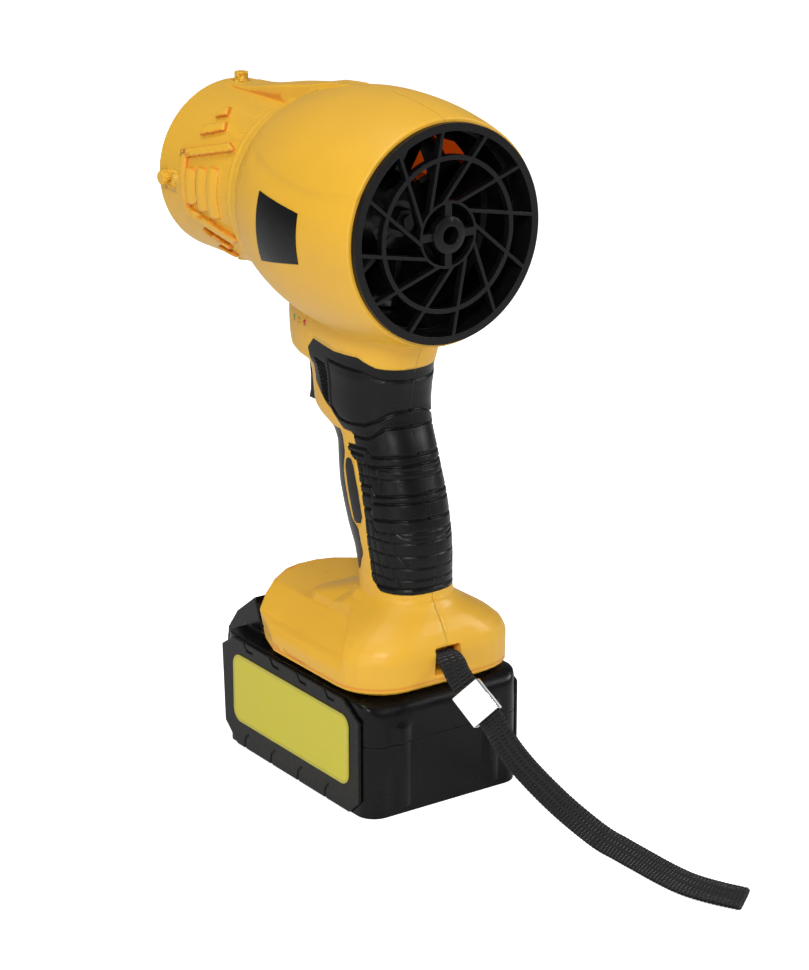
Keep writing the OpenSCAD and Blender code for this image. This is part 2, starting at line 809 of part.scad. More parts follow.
module housing_right() {
    color(yellow)
        intersection() {
            casing();
            box_at([-100, -100, 0], [100, 0, 300]);
        }
}

module housing_screws() {
    head_end_y = -screw_head_y - screw_head_l;
    color(steel)
        for (p = screw_places)
            difference() {
                union() {
                    cylinder_y(p[0], p[1], screw_r - 0.05, -screw_head_y - 1, screw_tip_y);
                    cylinder_y(p[0], p[1], screw_head_r, head_end_y, -screw_head_y);
                }
                translate([p[0], head_end_y + 0.9, p[1]])
                    rotate([90, 0, 0])
                        cross_recess();
            }
}

module cross_recess() {
    linear_extrude(height = 2) {
        square([3.2, 0.8], center = true);
        square([0.8, 3.2], center = true);
    }
}

// ---- air path ----

module intake_guard() {
    color(black_plastic) {
        on_axis(guard_x)
            tube(guard_r, guard_inner_r, guard_proud);
        on_axis(rim_x - 0.5)
            tube(guard_skirt_r, guard_inner_r, guard_skirt_l + 0.5);
        on_axis(guard_x)
            tube(mid_ring_r, mid_ring_r - 1.8, guard_depth);
        on_axis(guard_x)
            tube(hub_ring_r, hub_ring_r - 1, guard_depth);
        on_axis(guard_x)
            guard_hub();
        on_axis(guard_x)
            for (k = [0:rib_count - 1])
                rotate([0, 0, 10.5 + 360 * k / rib_count])
                    guard_rib();
    }
}

module guard_hub() {
    rotate_extrude()
        polygon([
            [hub_hole_r, -hub_proud], [hub_hole_r + 1.2, -hub_proud], [hub_r, -hub_proud / 2],
            [hub_r, guard_depth], [hub_hole_r, guard_depth]
        ]);
    for (a = [0:90:270])
        rotate([0, 0, a])
            translate([hub_r - 0.5, -1.5, 0])
                cube([hub_ring_r - 0.2 - hub_r, 3, guard_depth]);
}

module guard_rib() {
    start = sqrt(pow(hub_ring_r - 0.7, 2) - pow(rib_miss, 2));
    end = sqrt(pow(guard_inner_r + 0.8, 2) - pow(rib_miss, 2));
    translate([start, -rib_miss - rib_w / 2, 0])
        cube([end - start, rib_w, guard_depth]);
}

module air_duct() {
    entry_r = duct_r + 1.5;
    mouth_x = outlet_x - 0.5;
    cone_start_x = vane_x + vane_l;
    cone_mid_x = shoulder_x + shoulder_l / 2;
    cone_mid_r = tube_r + 1.8 - wall - 0.9;
    color(black_plastic)
        difference() {
            on_axis(0)
                rotate_extrude()
                    polygon([
                        [entry_r, duct_x], [entry_r, throat_x - 2], [duct_r, throat_x],
                        [duct_r, cone_start_x], [cone_mid_r - duct_wall, cone_mid_x],
                        [bore_r, tube_x], [bore_r, outlet_x - lip_l], [lip_r, outlet_x - lip_l],
                        [lip_r, mouth_x], [duct_tube_r, mouth_x], [duct_tube_r, tube_x],
                        [cone_mid_r, cone_mid_x], [duct_r + duct_wall, cone_start_x],
                        [duct_r + duct_wall, throat_x], [entry_r + duct_wall, throat_x - 2],
                        [entry_r + duct_wall, duct_x]
                    ]);
            duct_windows();
        }
}

// Windows that let the duct breathe into the casing: [x, length, width, angle above the side]
module duct_windows() {
    windows = [[-10, vane_window_l, 11.5, 17.5], [fan_x - 4, fan_l + 3, 13, 36.5]];
    on_both_sides()
        for (w = windows)
            translate([w[0], 0, axis_z])
                rotate([w[3], 0, 0])
                    translate([0, duct_r - 4, -w[2] / 2])
                        cube([w[1], 10, w[2]]);
}

module stator_vanes() {
    vane_turn = 16;
    color(black_plastic)
        on_axis(vane_x) {
            tube(sleeve_r + sleeve_wall, sleeve_r, sleeve_l);
            for (k = [0:vane_count - 1])
                rotate([0, 0, vane_turn + 360 * k / vane_count])
                    intersection() {
                        translate([sleeve_r + 1, 0, vane_l / 2])
                            rotate([-14, 0, 0])
                                translate([0, -blade_t / 2, -vane_l])
                                    cube([duct_r, blade_t, 2 * vane_l]);
                        tube(duct_r - 0.2, sleeve_r + 1, vane_l);
                    }
        }
}

module tail_cone() {
    spigot_l = 3;
    outer = sleeve_r + sleeve_wall;
    color(black_plastic)
        on_axis(cone_x)
            rotate_extrude()
                polygon([
                    [0, cone_l], [4, cone_l], [8, cone_l - 1.5], [14, cone_l * 0.55], [18, cone_l * 0.22],
                    [outer, 0], [sleeve_r - 0.1, 0], [sleeve_r - 0.1, -spigot_l],
                    [sleeve_r - 1.9, -spigot_l], [sleeve_r - 1.9, 0], [12, cone_l * 0.5], [0, cone_l - 3]
                ]);
}

module fan_impeller() {
    fan_boss_r = 6;
    color(black_plastic)
        on_axis(fan_x) {
            rotate_extrude()
                polygon([
                    [shaft_r + 0.01, -4], [7, -4], [12, -2.6], [15.4, -0.4], [fan_hub_r, 2],
                    [fan_hub_r, fan_l], [fan_hub_r - 2, fan_l], [fan_hub_r - 2, 3], [fan_boss_r, 2],
                    [fan_boss_r, fan_l - 2], [shaft_r + 0.01, fan_l - 2]
                ]);
            for (k = [0:blade_count - 1])
                rotate([0, 0, 360 * k / blade_count])
                    intersection() {
                        translate([fan_hub_r - 1, 0, fan_l / 2])
                            rotate([-blade_pitch, 0, 0])
                                translate([0, -blade_t / 2, -fan_l])
                                    cube([duct_r, blade_t, 2 * fan_l]);
                        translate([0, 0, 1.5])
                            tube(duct_r - tip_gap, fan_hub_r - 1, fan_l - 2);
                    }
        }
}

module fan_nut() {
    color(steel)
        on_axis(fan_x - 8)
            difference() {
                cylinder(r = 4.6, h = 4, $fn = 6);
                translate([0, 0, -1])
                    cylinder(r = shaft_r + 0.01, h = 6);
            }
}

module motor_shaft() {
    color(steel)
        on_axis(fan_x - 10)
            cylinder(r = shaft_r, h = motor_x + motor_l - fan_x + 11);
}

module motor_rotor() {
    color(steel)
        on_axis(motor_x + bearing_w + 2.5)
            tube(rotor_r, shaft_r + 0.01, motor_l - 2 * bearing_w - 5);
}

module motor_can() {
    seat_r = bearing_r + 0.05;
    lip = 1.2;
    color(steel)
        on_axis(motor_x)
            difference() {
                cylinder(r = motor_r, h = motor_l);
                translate([0, 0, bearing_w + lip])
                    cylinder(r = motor_r - can_wall, h = motor_l - 2 * (bearing_w + lip));
                translate([0, 0, -1])
                    cylinder(r = bearing_r - 2.2, h = motor_l + 2);
                translate([0, 0, -1])
                    cylinder(r = seat_r, h = bearing_w + 1);
                translate([0, 0, motor_l - bearing_w])
                    cylinder(r = seat_r, h = bearing_w + 1);
            }
}

module motor_coils() {
    color(copper)
        on_axis(motor_x + bearing_w + 2)
            difference() {
                cylinder(r = motor_r - can_wall - 0.1, h = motor_l - 2 * bearing_w - 4);
                translate([0, 0, -1])
                    cylinder(r = coil_r, h = motor_l);
                for (a = [0:60:300])
                    rotate([0, 0, a])
                        translate([coil_r - 1, -1, -1])
                            cube([3.5, 2, motor_l]);
            }
}

module motor_bearings() {
    color(steel)
        for (x = [motor_x, motor_x + motor_l - bearing_w])
            on_axis(x)
                tube(bearing_r, shaft_r + run_gap, bearing_w);
}

// ---- label and lamps ----

module info_label() {
    color(label_black)
        difference() {
            intersection() {
                barrel_shape(-label_t);
                side_prism([for (p = label_outline) [p[0], axis_z + p[1]]], 0, belly_r + 1);
            }
            barrel_shape(0);
        }
}

module led(i) {
    tip_y = side_y(led_x(i), led_level) + 0.3;
    cylinder_y(led_x(i), led_z, led_d / 2, board_y + board_t, tip_y - led_d / 4);
    translate([led_x(i), tip_y - led_d / 4, led_z])
        rotate([-90, 0, 0])
            cylinder(r1 = led_d / 2, r2 = led_d / 4, h = led_d / 4, $fn = 40);
}

module led_green() {
    color([0.2, 0.75, 0.3])
        led(0);
}

module led_amber() {
    color([0.95, 0.6, 0.1])
        led(1);
}

module led_red() {
    color([0.8, 0.12, 0.1])
        led(2);
}

module control_board() {
    color(board_green) {
        box_at(
            [control_board_x[0], board_y, control_board_z[0]],
            [control_board_x[1], board_y + board_t, control_board_z[1]]
        );
        for (x = [-22, -12])
            box_at([x, board_y - 3, control_board_z[0] + 2], [x + 7, board_y + 0.1, control_board_z[1] - 2]);
    }
}

// ---- trigger ----

module trigger() {
    half_w = trigger_w / 2;
    guide_w = 12;
    color(black_plastic)
        difference() {
            union() {
                side_prism([
                    [16.4, trigger_top_z], [14.2, trigger_top_z - 1], [11.2, trigger_top_z - 2.6],
                    [9.8, trigger_top_z - 5], [9, trigger_mid_z + 2], [9.2, trigger_mid_z - 4],
                    [10.3, trigger_floor_z],
                    [3, trigger_floor_z], [-1, trigger_mid_z - 5], [-1, trigger_mid_z + 8],
                    [0.5, trigger_top_z]
                ], -half_w, half_w);
                box_at([tail_x, -guide_w / 2, trigger_mid_z - 5.5], [0, guide_w / 2, trigger_mid_z + 7.5]);
                box_at([-9.5, -8.6, trigger_mid_z - 3], [-6.5, 8.6, trigger_mid_z + 6]);
            }
            translate([tail_x - 1, 0, trigger_mid_z + 1])
                rotate([0, 90, 0])
                    cylinder(r = trigger_spring_r + spring_wire_r + 0.4, h = 10);
        }
}

module trigger_spring() {
    length = -3.1 - switch_front_x;
    color(steel)
        translate([switch_front_x, 0, trigger_mid_z + 1])
            rotate([0, 90, 0])
                coil_spring(trigger_spring_r, length, 8);
}

module switch_body() {
    color(black_plastic) {
        box_at(
            [switch_front_x - switch_l, -switch_w / 2, trigger_mid_z - switch_h / 2 + 1],
            [switch_front_x, switch_w / 2, trigger_mid_z + switch_h / 2 + 1]
        );
        for (z = [-4, 4])
            box_at(
                [switch_front_x - switch_l - 3, -3, trigger_mid_z + z],
                [switch_front_x - switch_l + 0.1, 3, trigger_mid_z + z + 0.8]
            );
    }
}

// ---- soft grip ----

module grip_left() {
    color(soft_black)
        handle_inlay(grip_outline, 0, foot_half_w);
}

module grip_right() {
    color(soft_black)
        difference() {
            handle_inlay(grip_outline, -foot_half_w, 0);
            screw_holes();
        }
}

module finger_strip() {
    color(soft_black)
        handle_inlay(finger_outline, -foot_half_w, foot_half_w);
}

module side_pads() {
    color(soft_black) {
        handle_inlay(pad_outline, 0, foot_half_w);
        handle_inlay(pad_outline, -foot_half_w, 0);
    }
}

// ---- terminals and strap ----

module terminal_block() {
    color(black_plastic)
        difference() {
            box_at([block_x, -block_w / 2, blade_z[0]], [block_x + block_l, block_w / 2, foot_z + 11.5]);
            for (y = blade_ys)
                blade_at(y, 0.01);
        }
}

module blade_at(y, grow) {
    half_t = blade_thick / 2 + grow;
    box_at([block_x + 2, y - half_t, blade_z[0] + 0.5 - grow], [block_x + 16, y + half_t, blade_z[1] + grow]);
}

module terminal_blades() {
    color(copper)
        for (y = blade_ys)
            blade_at(y, 0);
}

module strap_post() {
    color(steel)
        cylinder_y(
            strap_post_x, strap_post_z, strap_post_r, 0.2 - strap_post_l / 2, strap_post_l / 2 - 0.2
        );
}

function place(i) = [strap_route[i][0], strap_route[i][1], strap_route[i][2]];
function unit(v) = v / norm(v);
function along(i) = unit(place(min(i + 1, len(strap_route) - 1)) - place(max(i - 1, 0)));
function across(i) =
    let (tilt = strap_route[i][3], turn = strap_route[i][4], t = along(i))
    let (w = [-sin(turn) * cos(tilt), -cos(turn) * cos(tilt), sin(tilt)])
        unit(w - (w * t) * t);

function strap_ring(i) =
    let (w = across(i), n = cross(along(i), across(i)), a = strap_w / 2, b = strap_t / 2)
        [
            for (p = [
                [a, -b / 2], [a, b / 2], [a - 1, b], [1 - a, b], [-a, b / 2], [-a, -b / 2],
                [1 - a, -b], [a - 1, -b]
            ])
                place(i) + p[0] * w + p[1] * n
        ];

module wrist_strap() {
    color(soft_black)
        skin([for (i = [0:len(strap_route) - 1]) strap_ring(i)]);
}

module strap_slider() {
    t = along(slider_station);
    w = across(slider_station);
    n = cross(t, w);
    inner = [slider_l + 1, strap_w + 2 * slider_gap, strap_t + 2 * slider_gap];
    outer = [slider_l, inner[1] + 2 * slider_wall, inner[2] + 2 * slider_wall];
    color(steel)
        translate(place(slider_station))
            rotate([atan2(w[2], n[2]), -asin(t[2]), atan2(t[1], t[0])])
                difference() {
                    cube(outer, center = true);
                    cube(inner, center = true);
                }
}

// ---- battery pack ----

module pack_outside() {
    intersection() {
        linear_extrude(height = pack_h)
            rounded_plan(pack_face_x, pack_front_x, body_w / 2, pack_corner_r, pack_front_corner_r);
        side_prism(
            concat(pack_top_outline, [
                [pack_front_x + 1, pack_h], [pack_front_x + 1, -1], [pack_face_x, -1]
            ]),
            -body_w / 2 - 1, body_w / 2 + 1
        );
    }
    pack_pillars();
    side_prism(nose_outline, -nose_w / 2, nose_w / 2);
    box_at([tower_rear_x, -neck_w / 2, pack_h - 1], [tower_front_x, neck_w / 2, head_z + 0.5]);
    box_at([tower_rear_x, -head_w / 2, head_z], [tower_front_x, head_w / 2, head_top_z]);
}

// Round pillars on the rear face, cut off at a slant below the pack's top edge
module pack_pillars() {
    difference() {
        for (side = [-1, 1])
            translate([pack_rear_x + pillar_r, side * pillar_y, 3])
                cylinder(r = pillar_r, h = pack_h - 7);
        side_prism(
            [
                [pack_rear_x - 5, pack_h - 16.5], [pack_rear_x + 7.3, pack_h - 2.5],
                [pack_rear_x - 5, pack_h - 2.5]
            ],
            -body_w / 2, body_w / 2
        );
    }
}

module pack_supports() {
    slope_x = pack_face_x + 7.6;
    side_prism(
        [
            [pack_face_x, pack_h - 8.3], [slope_x, pack_h - pack_wall], [slope_x, pack_h],
            [pack_face_x, pack_h]
        ],
        -body_w / 2, body_w / 2
    );
    for (p = pack_screw_places)
        translate([p[0], p[1], 0])
            cylinder(r = pack_screw_r + 1.5, h = pack_h + 10, $fn = 32);
    translate([button_spring_x, 0, 0])
        cylinder(r = button_spring_r + 1.4, h = button_spring_z, $fn = 40);
    translate([button_spring_x, 0, 0])
        cylinder(r = button_spring_r - 1.2, h = button_spring_z + 3, $fn = 40);
}

module pack_inside() {
    inner_y = body_w / 2 - pack_wall;
    difference() {
        union() {
            translate([0, 0, pack_wall])
                linear_extrude(height = pack_h - 2 * pack_wall)
                    rounded_plan(
                        pack_face_x + pack_wall, pack_front_x - pack_wall, inner_y,
                        pack_corner_r - pack_wall, pack_front_corner_r - pack_wall
                    );
            side_prism(nose_cavity_outline, pack_wall - nose_w / 2, nose_w / 2 - pack_wall);
            box_at(
                [tower_rear_x + pack_wall, pack_wall - neck_w / 2, pack_h - pack_wall - 1],
                [tower_front_x - 2, neck_w / 2 - pack_wall, head_top_z - 2]
            );
            box_at(
                [tower_front_x - 3, -latch_arm_w / 2 - gap - 0.3, pack_h - pack_wall - 1],
                [tower_front_x + 4, latch_arm_w / 2 + gap + 0.3, latch_arm_z[1] + 0.6]
            );
        }
        pack_supports();
    }
}

module pack_holes() {
    for (p = pack_screw_places)
        translate([p[0], p[1], p[2]]) {
            translate([0, 0, -4])
                cylinder(r = pack_screw_head_r + 0.2, h = 6, $fn = 32);
            cylinder(r = pack_screw_r + 0.15, h = pack_split - p[2], $fn = 32);
            cylinder(r = pack_screw_r + 0.05, h = pack_screw_l + 1, $fn = 32);
        }
    for (y = blade_ys)
        box_at(
            [tower_rear_x - 1, y - blade_thick / 2 - 0.5, blade_z[0] - 0.5],
            [tower_rear_x + pack_wall + 1, y + blade_thick / 2 + 0.5, blade_z[1] + 0.5]
        );
    box_at(
        [hook_x[0] - 0.5, -latch_arm_w / 2 - 0.5, head_top_z - 4],
        [hook_x[1] + 0.5, latch_arm_w / 2 + 0.5, head_top_z + 1]
    );
    box_at(
        [38, -latch_w / 2 - 0.4, latch_z[0] - latch_travel - 0.5],
        [latch_front_x + 1, latch_w / 2 + 0.4, latch_z[1] + 0.5]
    );
}

module pack_case() {
    difference() {
        pack_outside();
        pack_inside();
        pack_holes();
    }
}

module battery_case_lower() {
    color(black_plastic)
        intersection() {
            pack_case();
            box_at([-100, -60, -1], [100, 60, pack_split]);
        }
}

module battery_case_upper() {
    color(black_plastic)
        intersection() {
            pack_case();
            box_at([-100, -60, pack_split], [100, 60, 100]);
        }
}

module side_panel() {
    y0 = body_w / 2;
    y1 = pack_w / 2;
    depth = 0.6;
    difference() {
        side_prism(panel_outline, y0, y1);
        for (i = [0:3])
            translate([12.3 - panel_groove_pitch * i, 0, 0]) {
                side_prism(
                    [
                        [1.8, pack_h], [-1.6, pack_h - 3.7], [-6, pack_h - 3.7], [-6, pack_h - 3],
                        [-2, pack_h - 3], [0.7, pack_h]
                    ],
                    y1 - depth, y1 + 1
                );
                side_prism(
                    [[-2.8, 7.4], [-0.6, 5.3], [0.2, 3.6], [0.2, 0], [1, 0], [1, 3.8], [0.1, 5.8], [-2.3, 8]],
                    y1 - depth, y1 + 1
                );
            }
    }
}

module battery_side_left() {
    color(black_plastic)
        side_panel();
}

module battery_side_right() {
    color(black_plastic)
        mirror([0, 1, 0])
            side_panel();
}

module sticker() {
    translate([0, pack_w / 2 + sticker_t, 0])
        rotate([90, 0, 0])
            linear_extrude(height = sticker_t)
                translate([0, (sticker_z[0] + sticker_z[1]) / 2])
                    rounded_plan(
                        sticker_x[0], sticker_x[1], (sticker_z[1] - sticker_z[0]) / 2,
                        sticker_corner, sticker_corner
                    );
}

module battery_sticker_left() {
    color(sticker_green)
        sticker();
}

module battery_sticker_right() {
    color(sticker_green)
        mirror([0, 1, 0])
            sticker();
}

module battery_cells() {
    cap_h = 0.6;
    color(cell_blue)
        for (k = [0:cells_in_row - 1])
            for (z = cell_rows_z)
                translate([cell_first_x + cell_pitch * k, 0, z])
                    rotate([k % 2 == 0 ? 90 : -90, 0, 0])
                        translate([0, 0, -cell_l / 2]) {
                            cylinder(d = cell_d, h = cell_l - cap_h);
                            cylinder(d = 6, h = cell_l);
                        }
}

module cell_holder() {
    difference() {
        box_at(
            [cell_first_x - cell_d / 2 + 0.5, holder_y, pack_wall + 0.5],
            [
                cell_first_x + cell_pitch * (cells_in_row - 1) + cell_d / 2 - 0.5,
                holder_y + holder_t,
                pack_board_z - 0.3
            ]
        );
        for (k = [0:cells_in_row - 1])
            for (z = cell_rows_z)
                cylinder_y(
                    cell_first_x + cell_pitch * k, z, cell_d / 2 + 0.05, holder_y - 1,
                    holder_y + holder_t + 1
                );
    }
}

module cell_holder_left() {
    color(black_plastic)
        cell_holder();
}

module cell_holder_right() {
    color(black_plastic)
        mirror([0, 1, 0])
            cell_holder();
}

// Welded strips: pairs of columns on the left, and the pairs between them on the right
module nickel_strips() {
    half_w = 4;
    y = cell_l / 2;
    color(steel)
        for (link = [[0, 1, 1], [2, 3, 1], [4, 4, 1], [0, 0, -1], [1, 2, -1], [3, 4, -1]])
            box_at(
                [
                    cell_first_x + cell_pitch * link[0] - half_w,
                    link[2] > 0 ? y : -y - strip_t,
                    cell_rows_z[0] - half_w
                ],
                [
                    cell_first_x + cell_pitch * link[1] + half_w,
                    link[2] > 0 ? y + strip_t : -y,
                    cell_rows_z[1] + half_w
                ]
            );
}

module battery_board() {
    color(board_green)
        box_at(
            [pack_face_x + 7.8, pack_board_inset - body_w / 2, pack_board_z],
            [tower_front_x - 2, body_w / 2 - pack_board_inset, pack_board_z + board_t]
        );
}

module battery_clips() {
    leaf_t = 0.5;
    leaf_gap = 0.4;
    leaf_y = blade_thick / 2 + leaf_gap;
    base_z = pack_board_z + board_t;
    color(copper)
        for (y = blade_ys)
            translate([tower_rear_x + 3, y, base_z]) {
                translate([0, leaf_y, 0])
                    cube([8, leaf_t, blade_z[1] - base_z]);
                translate([0, -leaf_y - leaf_t, 0])
                    cube([8, leaf_t, blade_z[1] - base_z]);
                translate([0, -leaf_y - leaf_t, 0])
                    cube([8, 2 * (leaf_y + leaf_t), 1]);
            }
}

module battery_screws() {
    color(steel)
        for (p = pack_screw_places)
            translate([p[0], p[1], p[2]])
                difference() {
                    union() {
                        translate([0, 0, 0.3])
                            cylinder(r = pack_screw_head_r, h = 1.7, $fn = 32);
                        translate([0, 0, 1])
                            cylinder(r = pack_screw_r, h = pack_screw_l - 1, $fn = 32);
                    }
                    translate([0, 0, -1])
                        cross_recess();
                }
}

module latch_button() {
    arm_x = 25.4;
    half_w = latch_arm_w / 2;
    color(black_plastic) {
        box_at([latch_x - 0.3, -latch_w / 2, latch_z[0]], [latch_front_x, latch_w / 2, latch_z[1]]);
        box_at([37, -latch_w / 2 - 1.5, latch_z[0]], [latch_x - 0.2, latch_w / 2 + 1.5, latch_z[1] - 1.5]);
        box_at([arm_x, 1 - half_w, latch_link_z[0]], [37.1, half_w - 1, latch_link_z[1]]);
        box_at([arm_x, 1 - half_w, latch_link_z[0]], [arm_x + 2, half_w - 1, latch_arm_z[1]]);
        box_at([hook_x[0], -half_w, latch_arm_z[0]], [arm_x + 2, half_w, latch_arm_z[1]]);
        side_prism([
            [hook_x[0], latch_arm_z[0]], [hook_x[1], latch_arm_z[0]], [hook_x[1], hook_top_z],
            [hook_x[1] - 1.5, hook_top_z], [hook_x[0], hook_top_z - 2.5]
        ], -half_w, half_w);
    }
}

module latch_spring() {
    color(steel)
        translate([button_spring_x, 0, button_spring_z])
            coil_spring(button_spring_r, latch_link_z[0] - button_spring_z, 6);
}

// ---- pieces drawn ----

housing_left();
housing_right();
housing_screws();
intake_guard();
air_duct();
stator_vanes();
tail_cone();
fan_impeller();
fan_nut();
motor_shaft();
motor_rotor();
motor_can();
motor_coils();
motor_bearings();
info_label();
led_green();
led_amber();
led_red();
trigger();
trigger_spring();
switch_body();
control_board();
grip_left();
grip_right();
finger_strip();
side_pads();
terminal_block();
terminal_blades();
strap_post();
wrist_strap();
strap_slider();
battery_case_lower();
battery_case_upper();
battery_side_left();
battery_side_right();
battery_sticker_left();
battery_sticker_right();
battery_cells();
cell_holder_left();
cell_holder_right();
nickel_strips();
battery_board();
battery_clips();
latch_button();
latch_spring();
battery_screws();
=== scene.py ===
# %% [markdown]
# # A cordless blower for drying cars
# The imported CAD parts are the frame: every piece here is in metres and in their place. X points the
# way the air blows, Y to the left side with the lamps, and Z up. Parts whose shape is right keep
# their CAD mesh and get a finish; the rest is modelled on top of them.

# %% Load the frame
import math

import bmesh
import bpy
import numpy as np
from mathutils import Matrix, Vector


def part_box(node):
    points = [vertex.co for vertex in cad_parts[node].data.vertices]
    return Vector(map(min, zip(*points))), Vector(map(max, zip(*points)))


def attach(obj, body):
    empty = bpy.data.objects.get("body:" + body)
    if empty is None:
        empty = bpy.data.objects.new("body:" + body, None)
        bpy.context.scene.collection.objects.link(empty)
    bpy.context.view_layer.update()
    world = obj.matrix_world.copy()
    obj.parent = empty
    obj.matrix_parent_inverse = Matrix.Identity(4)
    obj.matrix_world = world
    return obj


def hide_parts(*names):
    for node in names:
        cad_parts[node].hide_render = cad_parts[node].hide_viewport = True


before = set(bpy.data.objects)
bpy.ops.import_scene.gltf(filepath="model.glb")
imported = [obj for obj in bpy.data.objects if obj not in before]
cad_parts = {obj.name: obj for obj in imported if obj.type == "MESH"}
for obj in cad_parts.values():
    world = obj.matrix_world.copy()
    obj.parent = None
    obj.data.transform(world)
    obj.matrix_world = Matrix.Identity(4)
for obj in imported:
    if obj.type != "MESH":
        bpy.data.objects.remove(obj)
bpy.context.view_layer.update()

MM = 0.001

# %% [markdown]
# ## Camera
# The blower is seen from behind, from its left and a little above, with a long lens. A camera looks
# along its own -Z, so its matrix is built from three directions: right, up and backwards.

# %% Camera
view_from = Vector((-0.9398, 0.6259, 0.4892))
look_along = Vector((0.7765, -0.5434, -0.3190)).normalized()
right_hand = look_along.cross(Vector((0, 0, 1))).normalized()
upwards = right_hand.cross(look_along)
bpy.ops.object.camera_add(location=view_from)
camera = bpy.context.object
turn = Matrix((right_hand, upwards, -look_along)).transposed()
camera.rotation_euler = turn.to_euler()
camera.data.lens = 111.3
camera.data.clip_end = 20
bpy.context.scene.camera = camera
print("camera", tuple(round(v, 3) for v in camera.location), "lens", camera.data.lens)

# %% [markdown]
# ## Helpers for modelling
# Operators act on whatever is selected, so every step starts by picking one piece. Faces are then
# selected in code, by their place or direction, which is what a modeller does with the mouse.

# %% Pick, edit and finish a piece
def pick(piece):
    if bpy.context.mode != "OBJECT":
        bpy.ops.object.mode_set(mode="OBJECT")
    bpy.ops.object.select_all(action="DESELECT")
    piece.select_set(True)
    bpy.context.view_layer.objects.active = piece


def edit_all(piece):
    pick(piece)
    bpy.ops.object.mode_set(mode="EDIT")
    bpy.ops.mesh.select_mode(type="FACE")
    bpy.ops.mesh.select_all(action="SELECT")


def done_editing():
    bpy.ops.object.mode_set(mode="OBJECT")


def select_faces(piece, wanted):
    """In edit mode: selects the faces for which wanted(centre, normal) is true."""
    bpy.ops.mesh.select_all(action="DESELECT")
    mesh = bmesh.from_edit_mesh(piece.data)
    for face in mesh.faces:
        face.select_set(bool(wanted(face.calc_center_median(), face.normal)))
    bmesh.update_edit_mesh(piece.data)


def apply_modifiers(piece):
    pick(piece)
    for modifier in list(piece.modifiers):
        bpy.ops.object.modifier_apply(modifier=modifier.name)


def add_bevel(piece, width, segments=2, angle=30):
    bevel = piece.modifiers.new("rounded edges", "BEVEL")
    bevel.width = width
    bevel.segments = segments
    bevel.limit_method = "ANGLE"
    bevel.angle_limit = math.radians(angle)
    bevel.use_clamp_overlap = True
    return bevel


def smooth_by_angle(piece, angle=35):
    pick(piece)
    bpy.ops.object.shade_smooth_by_angle(angle=math.radians(angle))


def place_in_mesh(piece):
    """Moves the object's place into its mesh, so that the object sits at the origin."""
    pick(piece)
    bpy.ops.object.transform_apply(location=True, rotation=True, scale=True)


def outwards(piece):
    edit_all(piece)
    bpy.ops.mesh.normals_make_consistent(inside=False)
    done_editing()


def merged_copy(node, name):
    """A copy of a CAD node's mesh with its loose triangles joined."""
    piece = bpy.data.objects.new(name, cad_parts[node].data.copy())
    bpy.context.collection.objects.link(piece)
    edit_all(piece)
    bpy.ops.mesh.remove_doubles(threshold=0.002 * MM)
    done_editing()
    return piece


def dressed(piece, body, finish, slot, *nodes):
    """Hangs a finished piece on its body with its material, and hides the CAD nodes it stands for."""
    piece.data.materials.clear()
    piece.data.materials.append(finish)
    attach(piece, body)
    if nodes:
        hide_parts(*nodes)
    print(piece.name, len(piece.data.polygons), "faces on", body)
    return piece


# %% [markdown]
# ## Effects that several finishes share
# Moulded plastic is never one flat colour: a spark-eroded mould leaves a fine grain, handling leaves
# dull patches, and dust settles on black parts. Each effect is a node group, so that each material
# can use it with its own values.

# %% A node group builder
def new_group(name, inputs, outputs):
    tree = bpy.data.node_groups.new(name, "ShaderNodeTree")
    for label, kind, value in inputs:
        socket = tree.interface.new_socket(label, in_out="INPUT", socket_type="NodeSocket" + kind)
        if value is not None:
            socket.default_value = value
    for label, kind in outputs:
        tree.interface.new_socket(label, in_out="OUTPUT", socket_type="NodeSocket" + kind)
    return tree, tree.nodes.new("NodeGroupInput"), tree.nodes.new("NodeGroupOutput")


def add_node(tree, kind, values=(), **settings):
    node = tree.nodes.new("ShaderNode" + kind)
    for key, value in settings.items():
        setattr(node, key, value)
    for key, value in dict(values).items():
        node.inputs[key].default_value = value
    return node


def join(tree, source, target):
    tree.links.new(source, target)


# A Mix node has three sets of sockets with the same names. These are the places of its colour set.
mix_share, mix_first, mix_second, mix_result = 0, 6, 7, 2


def math_node(tree, operation, first, second, clamp=False):
    node = add_node(tree, "Math", operation=operation, use_clamp=clamp)
    for socket, value in zip(node.inputs, (first, second)):
        if isinstance(value, (int, float)):
            socket.default_value = value
        else:
            join(tree, value, socket)
    return node.outputs[0]


# %% Moulded grain: a fine height pattern and a slow change of gloss
def make_grain_group():
    tree, given, result = new_group(
        "moulded grain",
        [("Place", "Vector", None), ("Grain size", "Float", 0.4), ("Patch size", "Float", 20.0)],
        [("Height", "Float"), ("Patches", "Float")],
    )
    for label, output, detail in (("Grain size", "Height", 3.0), ("Patch size", "Patches", 2.0)):
        noise = add_node(tree, "TexNoise", {"Detail": detail, "Roughness": 0.6})
        join(tree, given.outputs["Place"], noise.inputs["Vector"])
        join(tree, math_node(tree, "DIVIDE", 1000.0, given.outputs[label]), noise.inputs["Scale"])
        join(tree, noise.outputs["Fac"], result.inputs[output])
    return tree


grain_group = make_grain_group()


